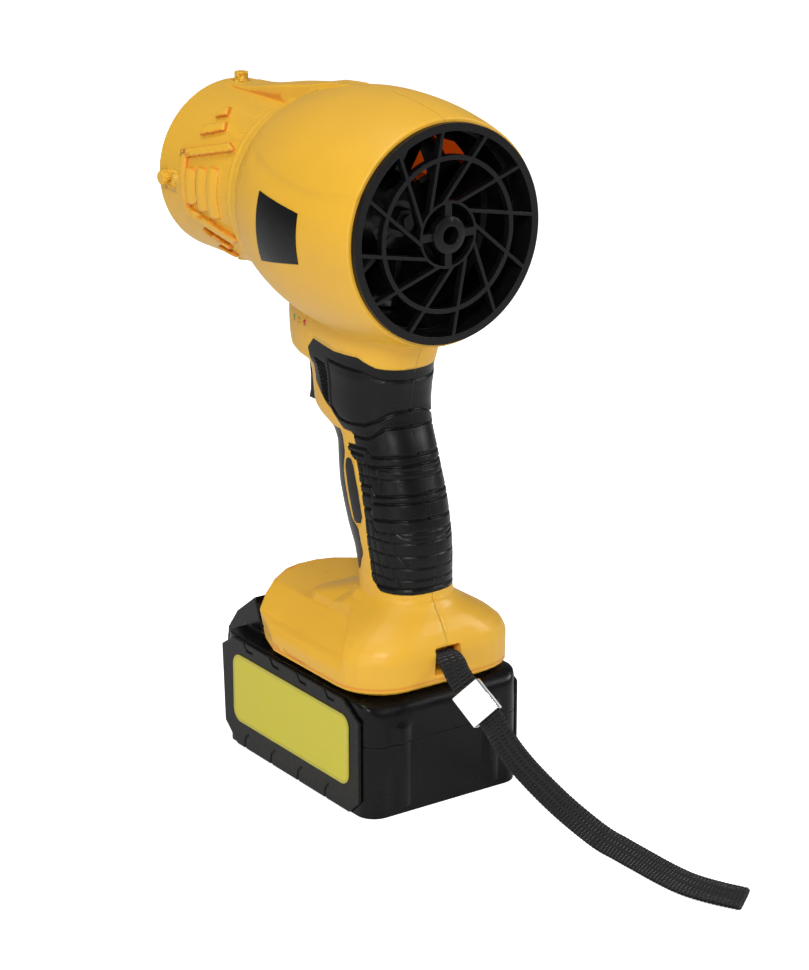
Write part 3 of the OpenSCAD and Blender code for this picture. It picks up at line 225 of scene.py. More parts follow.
# %% Dust and scuffs: sparse light specks, denser in some patches
def make_dust_group():
    tree, given, result = new_group(
        "dust and scuffs",
        [("Place", "Vector", None), ("Amount", "Float", 0.3), ("Speck size", "Float", 0.5)],
        [("Mask", "Float")],
    )
    specks = add_node(tree, "TexVoronoi", {"Randomness": 1.0}, feature="F1")
    join(tree, given.outputs["Place"], specks.inputs["Vector"])
    join(tree, math_node(tree, "DIVIDE", 1000.0, given.outputs["Speck size"]), specks.inputs["Scale"])
    where = add_node(tree, "TexNoise", {"Scale": 60.0, "Detail": 4.0})
    join(tree, given.outputs["Place"], where.inputs["Vector"])
    near = math_node(tree, "LESS_THAN", specks.outputs["Distance"], 0.16)
    picked = math_node(tree, "GREATER_THAN", where.outputs["Fac"], 0.56)
    both = math_node(tree, "MULTIPLY", near, picked)
    join(tree, math_node(tree, "MULTIPLY", both, given.outputs["Amount"]), result.inputs["Mask"])
    return tree


dust_group = make_dust_group()
print("groups:", [g.name for g in bpy.data.node_groups])


# %% [markdown]
# ## Finishes
# One function lays out a moulded finish: Object coordinates go into the shared groups, the grain
# feeds a Bump node, and a Bevel node rounds the shading of edges that the CAD mesh leaves sharp.
# Where a mesh marks grooves, a tint paints shade into them, and where it has "inside", it glows as painted
# light.

# %% A moulded finish
dust_colour = (0.35, 0.34, 0.32)


def moulded(name, colour, roughness, grain=0.4, grain_depth=0.02, edge=0.4, tint=0.12, dust=0.0,
            coat=0.0, metallic=0.0, subsurface=0.0, patch=20.0, gloss_change=0.12, reflect=0.5,
            groove_painted_shade=None, painted_glow=None):
    material = bpy.data.materials.new(name)
    material.use_nodes = True
    tree = material.node_tree
    shader = tree.nodes["Principled BSDF"]
    shader.inputs["Coat Weight"].default_value = coat
    shader.inputs["Coat Roughness"].default_value = 0.2
    shader.inputs["Metallic"].default_value = metallic
    shader.inputs["Subsurface Weight"].default_value = subsurface
    shader.inputs["Subsurface Radius"].default_value = (0.004, 0.0016, 0.0004)
    shader.inputs["Subsurface Scale"].default_value = 1.0
    shader.inputs["Specular IOR Level"].default_value = reflect
    place = add_node(tree, "TexCoord").outputs["Object"]
    surface = add_node(tree, "Group", node_tree=grain_group)
    surface.inputs["Grain size"].default_value = grain
    surface.inputs["Patch size"].default_value = patch
    join(tree, place, surface.inputs["Place"])
    shade = add_node(tree, "MapRange", {"To Min": 1.0 - tint, "To Max": 1.0 + tint * 0.6})
    join(tree, surface.outputs["Patches"], shade.inputs["Value"])
    tone = add_node(tree, "Mix", {"Factor": 1.0}, data_type="RGBA", blend_type="MULTIPLY")
    tone.inputs[mix_first].default_value = (*colour, 1)
    join(tree, shade.outputs[0], tone.inputs[mix_second])
    colour_out = tone.outputs[mix_result]
    if dust:
        specks = add_node(tree, "Group", node_tree=dust_group)
        specks.inputs["Amount"].default_value = dust
        specks.inputs["Speck size"].default_value = 0.8
        join(tree, place, specks.inputs["Place"])
        dusty = add_node(tree, "Mix", data_type="RGBA")
        dusty.inputs[mix_second].default_value = (*dust_colour, 1)
        join(tree, specks.outputs["Mask"], dusty.inputs[mix_share])
        join(tree, colour_out, dusty.inputs[mix_first])
        colour_out = dusty.outputs[mix_result]
    # Painted shade: a darker tint is multiplied in where the groove mark is high, in grooves and on steep
    # flanks.
    if groove_painted_shade:
        painted_groove_shade = add_node(tree, "Attribute", attribute_name="painted_groove_shade").outputs["Fac"]
        shaded = add_node(tree, "Mix", data_type="RGBA", blend_type="MULTIPLY")
        shaded.inputs[mix_second].default_value = (*groove_painted_shade, 1)
        join(tree, painted_groove_shade, shaded.inputs[mix_share])
        join(tree, colour_out, shaded.inputs[mix_first])
        colour_out = shaded.outputs[mix_result]
    # Painted light: emission where the mesh's "inside" mark is high, for light coming through a thin wall.
    if painted_glow:
        inside = add_node(tree, "Attribute", attribute_name="inside").outputs["Fac"]
        shader.inputs["Emission Color"].default_value = (*painted_glow[:3], 1)
        join(tree, math_node(tree, "MULTIPLY", inside, painted_glow[3]), shader.inputs["Emission Strength"])
    join(tree, colour_out, shader.inputs["Base Color"])
    gloss = add_node(tree, "MapRange", {"To Min": roughness - gloss_change / 2,
                                        "To Max": roughness + gloss_change})
    join(tree, surface.outputs["Patches"], gloss.inputs["Value"])
    join(tree, gloss.outputs[0], shader.inputs["Roughness"])
    bump = add_node(tree, "Bump", {"Strength": 1.0, "Distance": grain_depth * MM})
    join(tree, surface.outputs["Height"], bump.inputs["Height"])
    if edge:
        rounding = add_node(tree, "Bevel", {"Radius": edge * MM}, samples=4)
        join(tree, rounding.outputs[0], bump.inputs["Normal"])
    join(tree, bump.outputs[0], shader.inputs["Normal"])
    return material


# The casing's groove tint is painted shade, and its orange emission on inner walls is painted light.
yellow_casing = moulded("yellow casing", (0.80, 0.44, 0.030), 0.40, grain=0.5, grain_depth=0.012,
                        edge=0.5, tint=0.05, subsurface=0.10, gloss_change=0.08,
                        groove_painted_shade=(0.93, 0.58, 0.30),
                        painted_glow=(0.80, 0.09, 0.002, 0.22))
black_case = moulded("black case", (0.003, 0.003, 0.0035), 0.24, grain=0.35, grain_depth=0.03,
                     edge=0.5, tint=0.3, dust=0.08, reflect=0.20)
guard_black = moulded("guard black", (0.005, 0.005, 0.006), 0.26, grain=0.6, grain_depth=0.06,
                      edge=0.4, tint=0.3, dust=0.08, reflect=0.22)
duct_black = moulded("duct black", (0.003, 0.003, 0.004), 0.16, grain_depth=0.01, edge=0.4,
                     reflect=0.3)
# The grip's grey groove tint is painted shade in its grooves.
soft_grip = moulded("soft grip", (0.0055, 0.0055, 0.006), 0.28, grain=0.25, grain_depth=0.04,
                    edge=0.0, tint=0.25, dust=0.08, gloss_change=0.16, reflect=0.20,
                    groove_painted_shade=(0.15, 0.15, 0.15))
bare_label = moulded("bare label", (0.003, 0.003, 0.004), 0.24, grain_depth=0.004, edge=0.1,
                     reflect=0.18)
sticker_film = moulded("sticker film", (0.50, 0.44, 0.030), 0.34, grain=3.0, grain_depth=0.004,
                       edge=0.2, tint=0.06, coat=0.2)
sticker_panel = moulded("sticker panel", (0.62, 0.55, 0.028), 0.38, grain=3.0, grain_depth=0.004,
                        edge=0.2, tint=0.05)
plain_steel = moulded("plain steel", (0.50, 0.50, 0.52), 0.32, grain=0.2, grain_depth=0.01,
                      edge=0.2, metallic=1.0)
dark_steel = moulded("dark steel", (0.035, 0.035, 0.038), 0.38, grain=0.2, grain_depth=0.01,
                     edge=0.2, metallic=0.9)
bright_metal = moulded("bright metal", (0.90, 0.90, 0.92), 0.06, grain=0.3, grain_depth=0.002,
                       edge=0.0, tint=0.04, metallic=1.0, gloss_change=0.04)
winding_copper = moulded("winding copper", (0.62, 0.28, 0.12), 0.35, edge=0.2, metallic=1.0)
circuit_green = moulded("circuit green", (0.02, 0.12, 0.05), 0.35, edge=0.1, coat=0.4)
cell_wrap = moulded("cell wrap", (0.05, 0.16, 0.26), 0.3, edge=0.2)
print("finishes:", len(bpy.data.materials))


# %% [markdown]
# ## Lamp lenses
# The three charge lamps are small clear plastic rods. A lens is a coloured glossy plastic with a
# little glow of its own, so that it still reads from across a room.

# %% Lens finish
def lens(name, colour):
    material = moulded(name, colour, 0.16, grain_depth=0.002, edge=0.1, coat=0.8, gloss_change=0.04)
    shader = material.node_tree.nodes["Principled BSDF"]
    shader.inputs["Emission Color"].default_value = (*colour, 1)
    shader.inputs["Emission Strength"].default_value = 0.08
    return material


lens_green = lens("green lens", (0.10, 0.30, 0.04))
lens_amber = lens("amber lens", (0.60, 0.36, 0.03))
lens_red = lens("red lens", (0.50, 0.015, 0.012))

# %% [markdown]
# ## Parts that keep their CAD shape
# Lathe work, screws, cells and boards are exact in the CAD. They only need the right finish.

# %% Finishes for the CAD parts
cad_finishes = {
    duct_black: ["air_duct", "stator_vanes", "tail_cone", "fan_impeller", "terminal_block"],
    black_case: ["cell_holder_left", "cell_holder_right", "switch_body"],
    dark_steel: ["fan_nut", "housing_screws", "motor_shaft"],
    plain_steel: ["motor_rotor", "motor_can", "motor_bearings", "trigger_spring", "strap_post",
                  "nickel_strips", "latch_spring", "battery_screws"],
    winding_copper: ["motor_coils", "terminal_blades", "battery_clips"],
    circuit_green: ["control_board", "battery_board"],
    cell_wrap: ["battery_cells"],
}
for finish, nodes in cad_finishes.items():
    for node in nodes:
        cad_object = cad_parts[node]
        cad_object.data.materials.clear()
        cad_object.data.materials.append(finish)
print("CAD parts with a finish:", sum(len(nodes) for nodes in cad_finishes.values()))

# %% [markdown]
# ## Moulded parts with rounded edges
# No moulded part has a knife edge. The guard, the pack's lower case and side panels, the trigger, the
# release button and the label are copied from the CAD, cleaned of their triangle edges and given a
# real rounding with a Bevel modifier, which catches a thin line of light along every edge.

# %% Rounded copies: CAD node, name, rounding in millimetres, body, finish and slot
flat_within = math.radians(0.6)
rounded_parts = [
    ("intake_guard", "guard_grille", 0.35, "blower", guard_black, "black_plastic"),
    ("trigger", "trigger_blade", 0.6, "trigger", guard_black, "black_plastic"),
    ("battery_case_lower", "pack_case_lower", 1.0, "battery", black_case, "black_plastic"),
    ("battery_side_left", "pack_panel_left", 0.5, "battery", black_case, "black_plastic"),
    ("battery_side_right", "pack_panel_right", 0.5, "battery", black_case, "black_plastic"),
    ("latch_button", "release_button", 0.4, "latch", black_case, "black_plastic"),
    ("info_label", "side_label", 0.15, "blower", bare_label, "bare_label"),
]
for node, name, width, body, finish, slot in rounded_parts:
    piece = merged_copy(node, name)
    edit_all(piece)
    bpy.ops.mesh.dissolve_limited(angle_limit=flat_within)
    done_editing()
    add_bevel(piece, width * MM, segments=2)
    weighted = piece.modifiers.new("flat faces stay flat", "WEIGHTED_NORMAL")
    weighted.keep_sharp = True
    smooth_by_angle(piece, 40)
    apply_modifiers(piece)
    dressed(piece, body, finish, slot, node)

# %% [markdown]
# ## Remesh, soften and lift
# Casings and rubber skins are moulded, so their corners are soft and their details are shallow. A
# voxel remesh gives a piece small even faces, a Smooth modifier rounds its corners, and a Displace
# modifier, whose vertex group says how far each point goes, presses lines in or raises bars. Last, a
# Decimate modifier takes away the faces that the shape doesn't need.

# %% Points, remesh, soften, lift
def points_of(piece):
    """Places in millimetres and normals of all points of a piece."""
    count = len(piece.data.vertices)
    places, normals = np.empty(count * 3), np.empty(count * 3)
    piece.data.vertices.foreach_get("co", places)
    piece.data.vertices.foreach_get("normal", normals)
    return places.reshape(-1, 3) / MM, normals.reshape(-1, 3)


def remeshed(piece, size):
    piece.data.remesh_voxel_size = size * MM
    piece.data.use_remesh_fix_poles = False
    pick(piece)
    bpy.ops.object.voxel_remesh()


def weigh(piece, name, weights):
    group = piece.vertex_groups.new(name=name)
    for i in np.nonzero(weights > 0.001)[0]:
        group.add([int(i)], float(weights[i]), "REPLACE")
    return group.name


def soften(piece, rounds, weights=None):
    relax = piece.modifiers.new("soft corners", "SMOOTH")
    relax.factor = 0.5
    relax.iterations = rounds
    if weights is not None:
        relax.vertex_group = weigh(piece, "soft", weights)
    apply_modifiers(piece)
    piece.vertex_groups.clear()


def lift(piece, height):
    """Moves each point outwards by its height in millimetres, or inwards where that is below 0."""
    for way in (1, -1):
        part = np.clip(height * way, 0, None)
        most = float(part.max())
        if most > 0:
            push = piece.modifiers.new("pattern", "DISPLACE")
            push.vertex_group = weigh(piece, "pattern%d" % way, part / most)
            push.mid_level = 0
            push.strength = most * way * MM
    apply_modifiers(piece)
    piece.vertex_groups.clear()


def mark(piece, name, values):
    marks = piece.data.attributes.new(name, "FLOAT", "POINT")
    marks.data.foreach_set("value", values.astype(np.float32))


def thin_out(piece, faces):
    """Leaves about that many triangles, the smallest where the surface bends most."""
    fewer = piece.modifiers.new("fewer faces", "DECIMATE")
    fewer.ratio = faces / max(faces, sum(len(f.vertices) - 2 for f in piece.data.polygons))
    apply_modifiers(piece)


def close_seam(piece, seam):
    """Puts the points that lay on the middle plane back on it, so that the two halves still meet."""
    places, _ = points_of(piece)
    places[seam, 1] = 0
    piece.data.vertices.foreach_set("co", (places * MM).ravel())
    piece.data.update()


def ease(values, low, high):
    """0 below low, 1 above high and a smooth step between."""
    t = np.clip((values - low) / (high - low), 0, 1)
    return t * t * (3 - 2 * t)


def distance_to_lines(points, lines):
    """Least distance in millimetres from points, an array of [x, z], to any of the lines."""
    least = np.full(len(points), 1e9)
    for line in lines:
        for start, end in zip(line[:-1], line[1:]):
            start, step = np.array(start), np.array(end) - np.array(start)
            along = np.clip((points - start) @ step / (step @ step), 0, 1)
            least = np.minimum(least, np.linalg.norm(points - start - along[:, None] * step, axis=1))
    return least


def groove(points, lines, half_width, deep):
    reach = distance_to_lines(points, lines) / half_width
    return deep * np.clip(1.6 - 1.6 * reach ** 2, 0, 1)


# %% [markdown]
# ## The battery pack's upper case
# The pack is dropped and knocked, so its upper case has generous roundings, most of all on the
# shoulder behind the tool. Only those edges are softened a lot; the rails stay crisp.

# %% Upper case
upper_case_voxel = 0.6
upper_case_faces = 120000
shoulder_rounds = 50

upper_case = merged_copy("battery_case_upper", "pack_case_upper")
remeshed(upper_case, upper_case_voxel)
places, normals = points_of(upper_case)
shoulder = ease(-places[:, 0], 50, 58) * ease(places[:, 2], 35, 38)
soften(upper_case, shoulder_rounds, shoulder)
soften(upper_case, 1)
thin_out(upper_case, upper_case_faces)
smooth_by_angle(upper_case, 50)
dressed(upper_case, "battery", black_case, "black_plastic", "battery_case_upper")

# %% [markdown]
# ## True curves
# The CAD barrel has 64 flat sides and the handle 28, which would show as stripes once the faces are
# small. Each point near one of those surfaces is moved onto the curve the flats stand for: a surface
# of revolution for the barrel, and a squarish oval that changes with height for the handle.

# %% Barrel and handle curves, in millimetres
axis_height = 226.0
tube_radius = 34.8
handle_stations = np.array([
    [62.2, -64, -30, 17.2], [78, -64, -29, 17.0], [88.1, -65, -27, 16.0], [96.3, -65.5, -24, 16.0],
    [103.8, -64.8, -20, 16.5], [112, -63, -17, 16.8], [120.2, -61, -14.2, 16.8],
    [127.8, -58, -13.4, 16.5], [136, -55.5, -12.6, 16.0], [141, -53.5, -9.5, 16.0],
    [145, -51.5, -1, 17.2], [148, -50.3, 2, 18.0], [154, -49.5, 2.5, 18.5], [160.8, -50.2, 3.2, 18.8],
    [163, -50.8, 4.4, 19.0], [165.5, -51.2, 5.4, 19.3], [167.1, -51.6, 15.6, 19.6],
    [168.7, -52, 18.6, 19.9], [172.4, -53.6, 19.6, 20.1], [180, -56.4, 20, 20.5], [194.5, -62, 20, 20.5],
])
curve_heights = np.arange(62.0, 194.5, 0.5)
bell = np.hanning(11) / np.hanning(11).sum()
handle_curves = [
    np.convolve(np.pad(np.interp(curve_heights, handle_stations[:, 0], handle_stations[:, k]), 5, "edge"),
                bell, "valid")
    for k in (1, 2, 3)
]


def barrel_radius(x):
    t = (x + 71) / 77.5
    rear = 47.4 - 4.6 * np.clip(1 - t / 0.52, 0, 1) ** 2.2
    belly = 47.4 - 6.2 * (np.clip(t - 0.52, 0, 1) / 0.48) ** 2
    tube = tube_radius + 6.4 * np.clip(1 - (x - 6.5) / 18, 0, 1) ** 2
    return np.where(t < 0.52, rear, np.where(x < 6.5, belly, tube))


def onto_curves(piece):
    places, normals = points_of(piece)
    up = places[:, 2] - axis_height
    radius = np.hypot(places[:, 1], up)
    off = barrel_radius(places[:, 0]) - radius
    outward = (normals[:, 1] * places[:, 1] + normals[:, 2] * up) / np.maximum(radius, 1)
    on_tube = places[:, 0] > 20
    band = ease(np.abs(off), np.where(on_tube, 0.1, 0.15), np.where(on_tube, 0.25, 0.5))
    share = off / radius * (1 - band) * ease(outward, 0.8, 0.95) * (places[:, 0] < 73)
    places[:, 1] += places[:, 1] * share
    places[:, 2] += up * share
    rear, front, half = [np.interp(places[:, 2], curve_heights, curve) for curve in handle_curves]
    from_middle = places[:, 0] - (rear + front) / 2
    oval = (np.abs(from_middle * 2 / (front - rear)) ** 2.5 + np.abs(places[:, 1] / half) ** 2.5) ** 0.4
    off = 1 / np.maximum(oval, 0.1) - 1
    outward = normals[:, 0] * from_middle + normals[:, 1] * places[:, 1] > 0
    near = (1 - ease(np.abs(off), 0.02, 0.04)) * outward
    chin = ease(places[:, 2], 160, 163) * (1 - ease(places[:, 2], 171, 174)) * (places[:, 0] > -8)
    near *= ease(places[:, 2], 84, 88) * (1 - ease(places[:, 2], 182, 186)) * (1 - chin)
    places[:, 0] += from_middle * off * near
    places[:, 1] += places[:, 1] * off * near
    piece.data.vertices.foreach_set("co", (places * MM).ravel())
    piece.data.update()


# %% [markdown]
# ## The yellow casing
# Two halves are moulded in tough glossy plastic and screwed together on the middle plane, where a
# fine seam stays. The foot's round end has no flats at all, so it is softened most. The wall is thin
# enough to let some light through, and that light is painted on its inside as an orange glow; its
# creases and the tube relief's steep flanks are darkened with painted shade.

# %% The casing's measures in millimetres
casing_voxel = 0.52
casing_faces = 185000
seam_half = 0.3
round_end_rounds, ridge_rounds, bar_rounds = 30, 30, 4
bar_lift, bar_slope = 0.8, 1.7
louvre_front, louvre_pitch = 52.7, 8.0
crease_half, crease_deep, lip_height, lip_deep = 0.6, 0.28, 51.6, 0.35
facet_deep = 0.6
slot_painted_glow = 0.7
foot_crease_lines = [[[7.5, 60], [5.4, 55.2], [-13.5, 52.6]], [[-17, 53.4], [-21, 52.2], [-32, 52.0]]]
belly_line = np.array([[-75, 246.4], [-50.2, 243.3], [-35.6, 244.6], [-19, 246.8], [-7, 248.7], [8, 251]])


# %% Where the casing is softened: each function gives 0 to 1 for every point
def foot_round_end(x, side, height):
    """The foot's round end behind the handle, apart from the strap's slot and its rim."""
    off_slot = ease(np.maximum(side - 6, np.maximum(height - 65, 53 - height)), 1.0, 3.0)
    start = 57 - 9 * ease(height, 66, 69)
    return ease(-x, start, start + 5) * ease(height, 55, 59) * (1 - ease(height, 82, 85)) * off_slot


def tube_relief(x, side, above_tube):
    """The raised frame and bars on both sides of the outlet tube."""
    return ease(above_tube, 0.1, 0.5) * ease(x, 20, 23) * (1 - ease(x, 60, 61.5)) * ease(side, 8, 11)


def top_ridge(x, side, height, above_tube):
    """The wedge that runs from the barrel onto the top of the tube."""
    share = ease(above_tube, 0.2, 0.8) * ease(x, -8, 6) * (1 - ease(x, 56, 60)) * (1 - ease(side, 17, 21))
    share *= height > axis_height + 20
    return share


def louvre_slope(x, height):
    """0 on each louvre bar's high front edge and 1 at its rear foot."""
    louvres = (np.abs(height - axis_height) < 12) & (x > 29.4) & (x < 53)
    along_louvre = np.where(louvres, (louvre_front - x) % louvre_pitch, 0.0)
    return ease(along_louvre, 2.6, 7.2)


# %% What is pressed into the casing, in millimetres
def foot_creases(places, side, on_foot):
    """Shallow lines on the foot's sides, and one all round it above its lower edge."""
    x, height = places[:, 0], places[:, 2]
    crease = groove(places[:, [0, 2]], foot_crease_lines, crease_half, crease_deep) * on_foot * (side > 24)
    crease += lip_deep * np.exp(-((height - lip_height) / 0.45) ** 2) * on_foot * (x < -6)
    return crease


def belly_facet(x, side, height, outside):
    """The soft crease along the barrel's side, deepest just under the belly line."""
    below = np.interp(x, belly_line[:, 0], belly_line[:, 1]) - height
    on_barrel = (outside & (side > 20) & (x < 6)) * ease(-x, -4, 4)
    return facet_deep * ease(below, -0.5, 2.6) * (1 - ease(below, 3.2, 9.5)) * on_barrel


# %% Painted shade and painted glow: each function gives 0 to 1 for every point
def painted_flank_shade(places, normals, radius, side):
    """The steep flanks of the tube's raised forms, where painted shade makes them darker than their tops."""
    x, height = places[:, 0], places[:, 2]
    slant = (normals[:, 1] * places[:, 1] + normals[:, 2] * (height - axis_height)) / radius
    return (1 - ease(slant, 0.6, 0.97)) * (x > 21) * (x < 61) * (radius > tube_radius) * (side > 8)


def painted_inside_glow(x, side, height, radius):
    """Painted glow: the barrel's inner wall, and the walls of the strap's slot."""
    inner = ease(barrel_radius(x) - radius, 1.4, 2.0) * (height > 200) * (x < 70)
    slot_side = (side < 6.6) & (np.abs(height - 59.2) < 6.2) & (x < -70) & (x > -74.4)
    return np.maximum(inner, slot_side * slot_painted_glow)


# %% Casing halves
for node, name in (("housing_left", "casing_left"), ("housing_right", "casing_right")):
    casing = merged_copy(node, name)
    remeshed(casing, casing_voxel)
    places, normals = points_of(casing)
    x, side, height = places[:, 0], np.abs(places[:, 1]), places[:, 2]
    seam = side < seam_half
    above_tube = np.hypot(side, height - axis_height) - tube_radius
    soften(casing, round_end_rounds, foot_round_end(x, side, height))
    outer = normals[:, 1] * places[:, 1] + normals[:, 2] * (height - axis_height) > 0
    bars = tube_relief(x, side, above_tube) * outer
    lift(casing, bars * (bar_lift - bar_slope * louvre_slope(x, height)))
    soften(casing, bar_rounds, bars)
    soften(casing, ridge_rounds, top_ridge(x, side, height, above_tube) * (normals[:, 2] > -0.3))
    soften(casing, 1)
    onto_curves(casing)
    places, normals = points_of(casing)
    x, side, height = places[:, 0], np.abs(places[:, 1]), places[:, 2]
    outside = (normals[:, 1] * places[:, 1] > 0.25 * side) | (normals[:, 0] < -0.5)
    on_foot = (height < 62) & outside & ((side > 30) | (x < -60))
    crease = foot_creases(places, side, on_foot)
    lift(casing, -crease - belly_facet(x, side, height, outside))
    radius = np.maximum(np.hypot(side, height - axis_height), 1)
    flank_painted_shade = painted_flank_shade(places, normals, radius, side)
    # Painted shade goes into the creases and the relief's flanks, and painted glow onto the inner wall and
    # the slot.
    mark(casing, "painted_groove_shade", np.clip(np.maximum(crease / lip_deep, flank_painted_shade), 0, 1))
    mark(casing, "inside", painted_inside_glow(x, side, height, radius))
    close_seam(casing, seam)
    thin_out(casing, casing_faces)
    smooth_by_angle(casing, 60)
    dressed(casing, "blower", yellow_casing, "yellow_casing", node)

# %% [markdown]
# ## The soft grip
# Rubber is moulded over the handle in one shot, with grooves and a grid that keep wet hands from
# slipping. Drawing the pattern as lines on the handle's side gives the same grooves on the left and
# the right; the deep ones part the panels, and the fine ones make the grid.

# %% The grip's pattern, as lines of [x, z] in millimetres
panel_lines = [
    [[-22.6, 170.1], [-31.4, 169.1], [-40.4, 168.6], [-45, 166.5], [-49.3, 165.4], [-58, 164.4]],
    [[-22.6, 170.1], [-22.9, 151.3], [-27.6, 147.3], [-32.3, 146.8], [-41, 147.6], [-45.6, 149.8],
     [-49.3, 152.9], [-58, 153.7]],
    [[-32.3, 141.9], [-42.5, 142.3], [-45.7, 144.7], [-47.6, 146.6], [-60, 148.2]],
    [[-29.3, 137.0], [-41.5, 138.2], [-44.6, 135.6], [-60, 137.2]],
    [[-31.0, 134.7], [-40.2, 135.4], [-42.8, 131.9], [-62, 133.8]],
    [[-31.0, 134.7], [-33.9, 129.9], [-35.4, 123.6], [-45.6, 124.4], [-48.4, 121.2], [-66, 123.3]],
    [[-35.2, 119.6], [-45.2, 121.0], [-47.6, 118.2], [-66, 120.3]],
    [[-37.6, 114.6], [-46.3, 115.4], [-48.2, 112.0], [-68, 113.6]],
    [[-41.4, 112.6], [-42.0, 109.1], [-41.6, 103.7], [-44.2, 88.2], [-48.6, 85.8], [-70, 85.8]],
]
fine_lines = [
    [[-43.4, 110.6], [-47.2, 110.8], [-49.4, 107.4], [-70, 109.2]],
    [[-44.0, 131.6], [-62, 131.0]],
    [[-36.4, 131.5], [-42.6, 132.2]],
    [[-36.8, 127.8], [-64, 128.6]],
    [[-35.8, 133.2], [-37.3, 129.5], [-38.6, 125.0]],
    [[-38.8, 133.4], [-40.4, 129.5], [-41.8, 125.2]],
    [[-43.0, 131.4], [-44.6, 128.6], [-45.8, 125.0]],
    [[-47.8, 131.4], [-49.4, 127.5], [-50.2, 123.0]],
    [[-43.0, 104.4], [-72, 104.6]],
    [[-43.6, 99.4], [-72, 99.4]],
    [[-44.2, 94.4], [-72, 94.2]],
    [[-45.0, 90.0], [-72, 89.6]],
    [[-44.6, 109.8], [-46.0, 101.0], [-47.6, 94.0], [-49.6, 87.0]],
    [[-47.8, 108.6], [-49.4, 101.0], [-51.6, 94.0], [-54.6, 87.0]],
    [[-51.4, 107.8], [-53.4, 101.0], [-56.4, 94.0], [-60.4, 87.0]],
    [[-55.0, 108.2], [-57.0, 103.5], [-59.6, 99.0], [-62.6, 95.5]],
    [[-57.0, 109.0], [-60.0, 106.9], [-66.0, 105.6]],
]
slit_lines = [
    [[-13.6 - 0.36 * k, 168.4 - 1.45 * k], [-20.2 - 0.05 * k, 167.2 - 1.45 * k]] for k in range(11)
]
print("grip lines:", len(panel_lines) + len(fine_lines) + len(slit_lines))


# %% Grip halves, finger strip and side pads
grip_voxel = 0.36
grip_faces = 150000
grip_seam_half = 0.25


def outer_side(places, normals):
    """True for each point that faces away from the handle's middle."""
    rear, front = [np.interp(places[:, 2], curve_heights, curve) for curve in handle_curves[:2]]
    away = normals[:, 0] * (places[:, 0] - (rear + front) / 2) + normals[:, 1] * places[:, 1]
    return away > 1.0


for node, name in (("grip_left", "grip_skin_left"), ("grip_right", "grip_skin_right")):
    grip = merged_copy(node, name)
    remeshed(grip, grip_voxel)
    seam = np.abs(points_of(grip)[0][:, 1]) < grip_seam_half
    soften(grip, 4)
    onto_curves(grip)
    places, normals = points_of(grip)
    seen_from_side = places[:, [0, 2]]
    depth = groove(seen_from_side, panel_lines, 0.62, 0.75)
    depth = np.maximum(depth, groove(seen_from_side, fine_lines, 0.42, 0.4))
    depth = np.maximum(depth, groove(seen_from_side, slit_lines, 0.5, 0.8))
    depth *= outer_side(places, normals)
    lift(grip, -depth)
    # Painted shade: the grooves are darkened by the finish, most where they are deepest.
    mark(grip, "painted_groove_shade", depth / depth.max())
    close_seam(grip, seam)
    thin_out(grip, grip_faces)
    smooth_by_angle(grip, 70)
    dressed(grip, "blower", soft_grip, "soft_grip", node)

for node, name, size in (("finger_strip", "finger_skin", 0.5), ("side_pads", "side_pad_skins", 0.35)):
    skin = merged_copy(node, name)
    remeshed(skin, size)
    soften(skin, 4)
    onto_curves(skin)
    mark(skin, "painted_groove_shade", np.zeros(len(skin.data.vertices)))
    smooth_by_angle(skin, 70)
    dressed(skin, "blower", soft_grip, "soft_grip", node)

# %% [markdown]
# ## Charge lamps
# Each lamp is a short rod with a domed tip. A sphere is cut in half with a bisect, and its open rim
# is extruded back into the casing and closed.

# %% Lamp domes
lamp_finishes = {"led_green": lens_green, "led_amber": lens_amber, "led_red": lens_red}
for node, finish in lamp_finishes.items():
    low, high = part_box(node)
    centre = (low + high) / 2
    radius = (high.x - low.x) / 2
    bpy.ops.object.select_all(action="DESELECT")
    bpy.ops.mesh.primitive_uv_sphere_add(segments=32, ring_count=16, radius=radius,
                                         location=(centre.x, high.y - radius, centre.z))
    lamp = bpy.context.object
    lamp.name = node.replace("led", "lamp")
    place_in_mesh(lamp)
    edit_all(lamp)
    bpy.ops.mesh.bisect(plane_co=(centre.x, high.y - radius, centre.z), plane_no=(0, 1, 0),
                        clear_inner=True)
    bpy.ops.mesh.select_all(action="DESELECT")
    bpy.ops.mesh.select_mode(type="EDGE")
    bpy.ops.mesh.select_non_manifold()
    bpy.ops.mesh.extrude_region_move(
        TRANSFORM_OT_translate={"value": (0, low.y - high.y + radius, 0)})
    bpy.ops.mesh.edge_face_add()
    done_editing()
    outwards(lamp)
    smooth_by_angle(lamp, 50)
    dressed(lamp, "blower", finish, node.replace("led_", "") + "_lens", node)

# %% [markdown]
# ## Battery labels
# The pack's labels are film in a shallow recess. They are bare: a darker border and a lighter field,
# made by insetting the outer face and sinking the field a hair.

# %% Battery labels
for side, node in ((1, "battery_sticker_left"), (-1, "battery_sticker_right")):
    label = merged_copy(node, "pack_label_left" if side > 0 else "pack_label_right")
    edit_all(label)
    bpy.ops.mesh.dissolve_limited(angle_limit=flat_within)
    select_faces(label, lambda centre, normal: normal.y * side > 0.9)
    bpy.ops.mesh.inset(thickness=1.1 * MM, depth=0)
    bpy.ops.mesh.inset(thickness=0.12 * MM, depth=-0.06 * MM)
    done_editing()
    dressed(label, "battery", sticker_film, "sticker", node)
    label.data.materials.append(sticker_panel)
    flat_faces = [f for f in label.data.polygons if f.normal.y * side > 0.9]
    max(flat_faces, key=lambda f: f.area).material_index = 1

# %% [markdown]
# ## The wrist strap
# The strap is one length of woven polyester webbing, 10 mm wide, doubled: it runs out through the
# metal slider, folds over at its far end and comes back round the steel pin. Flat webbing has no
# room to swell, so it is swept directly along its route: a rounded flat section with a rib across
# it every millimetre and a half, where the weft pulls the warp down.

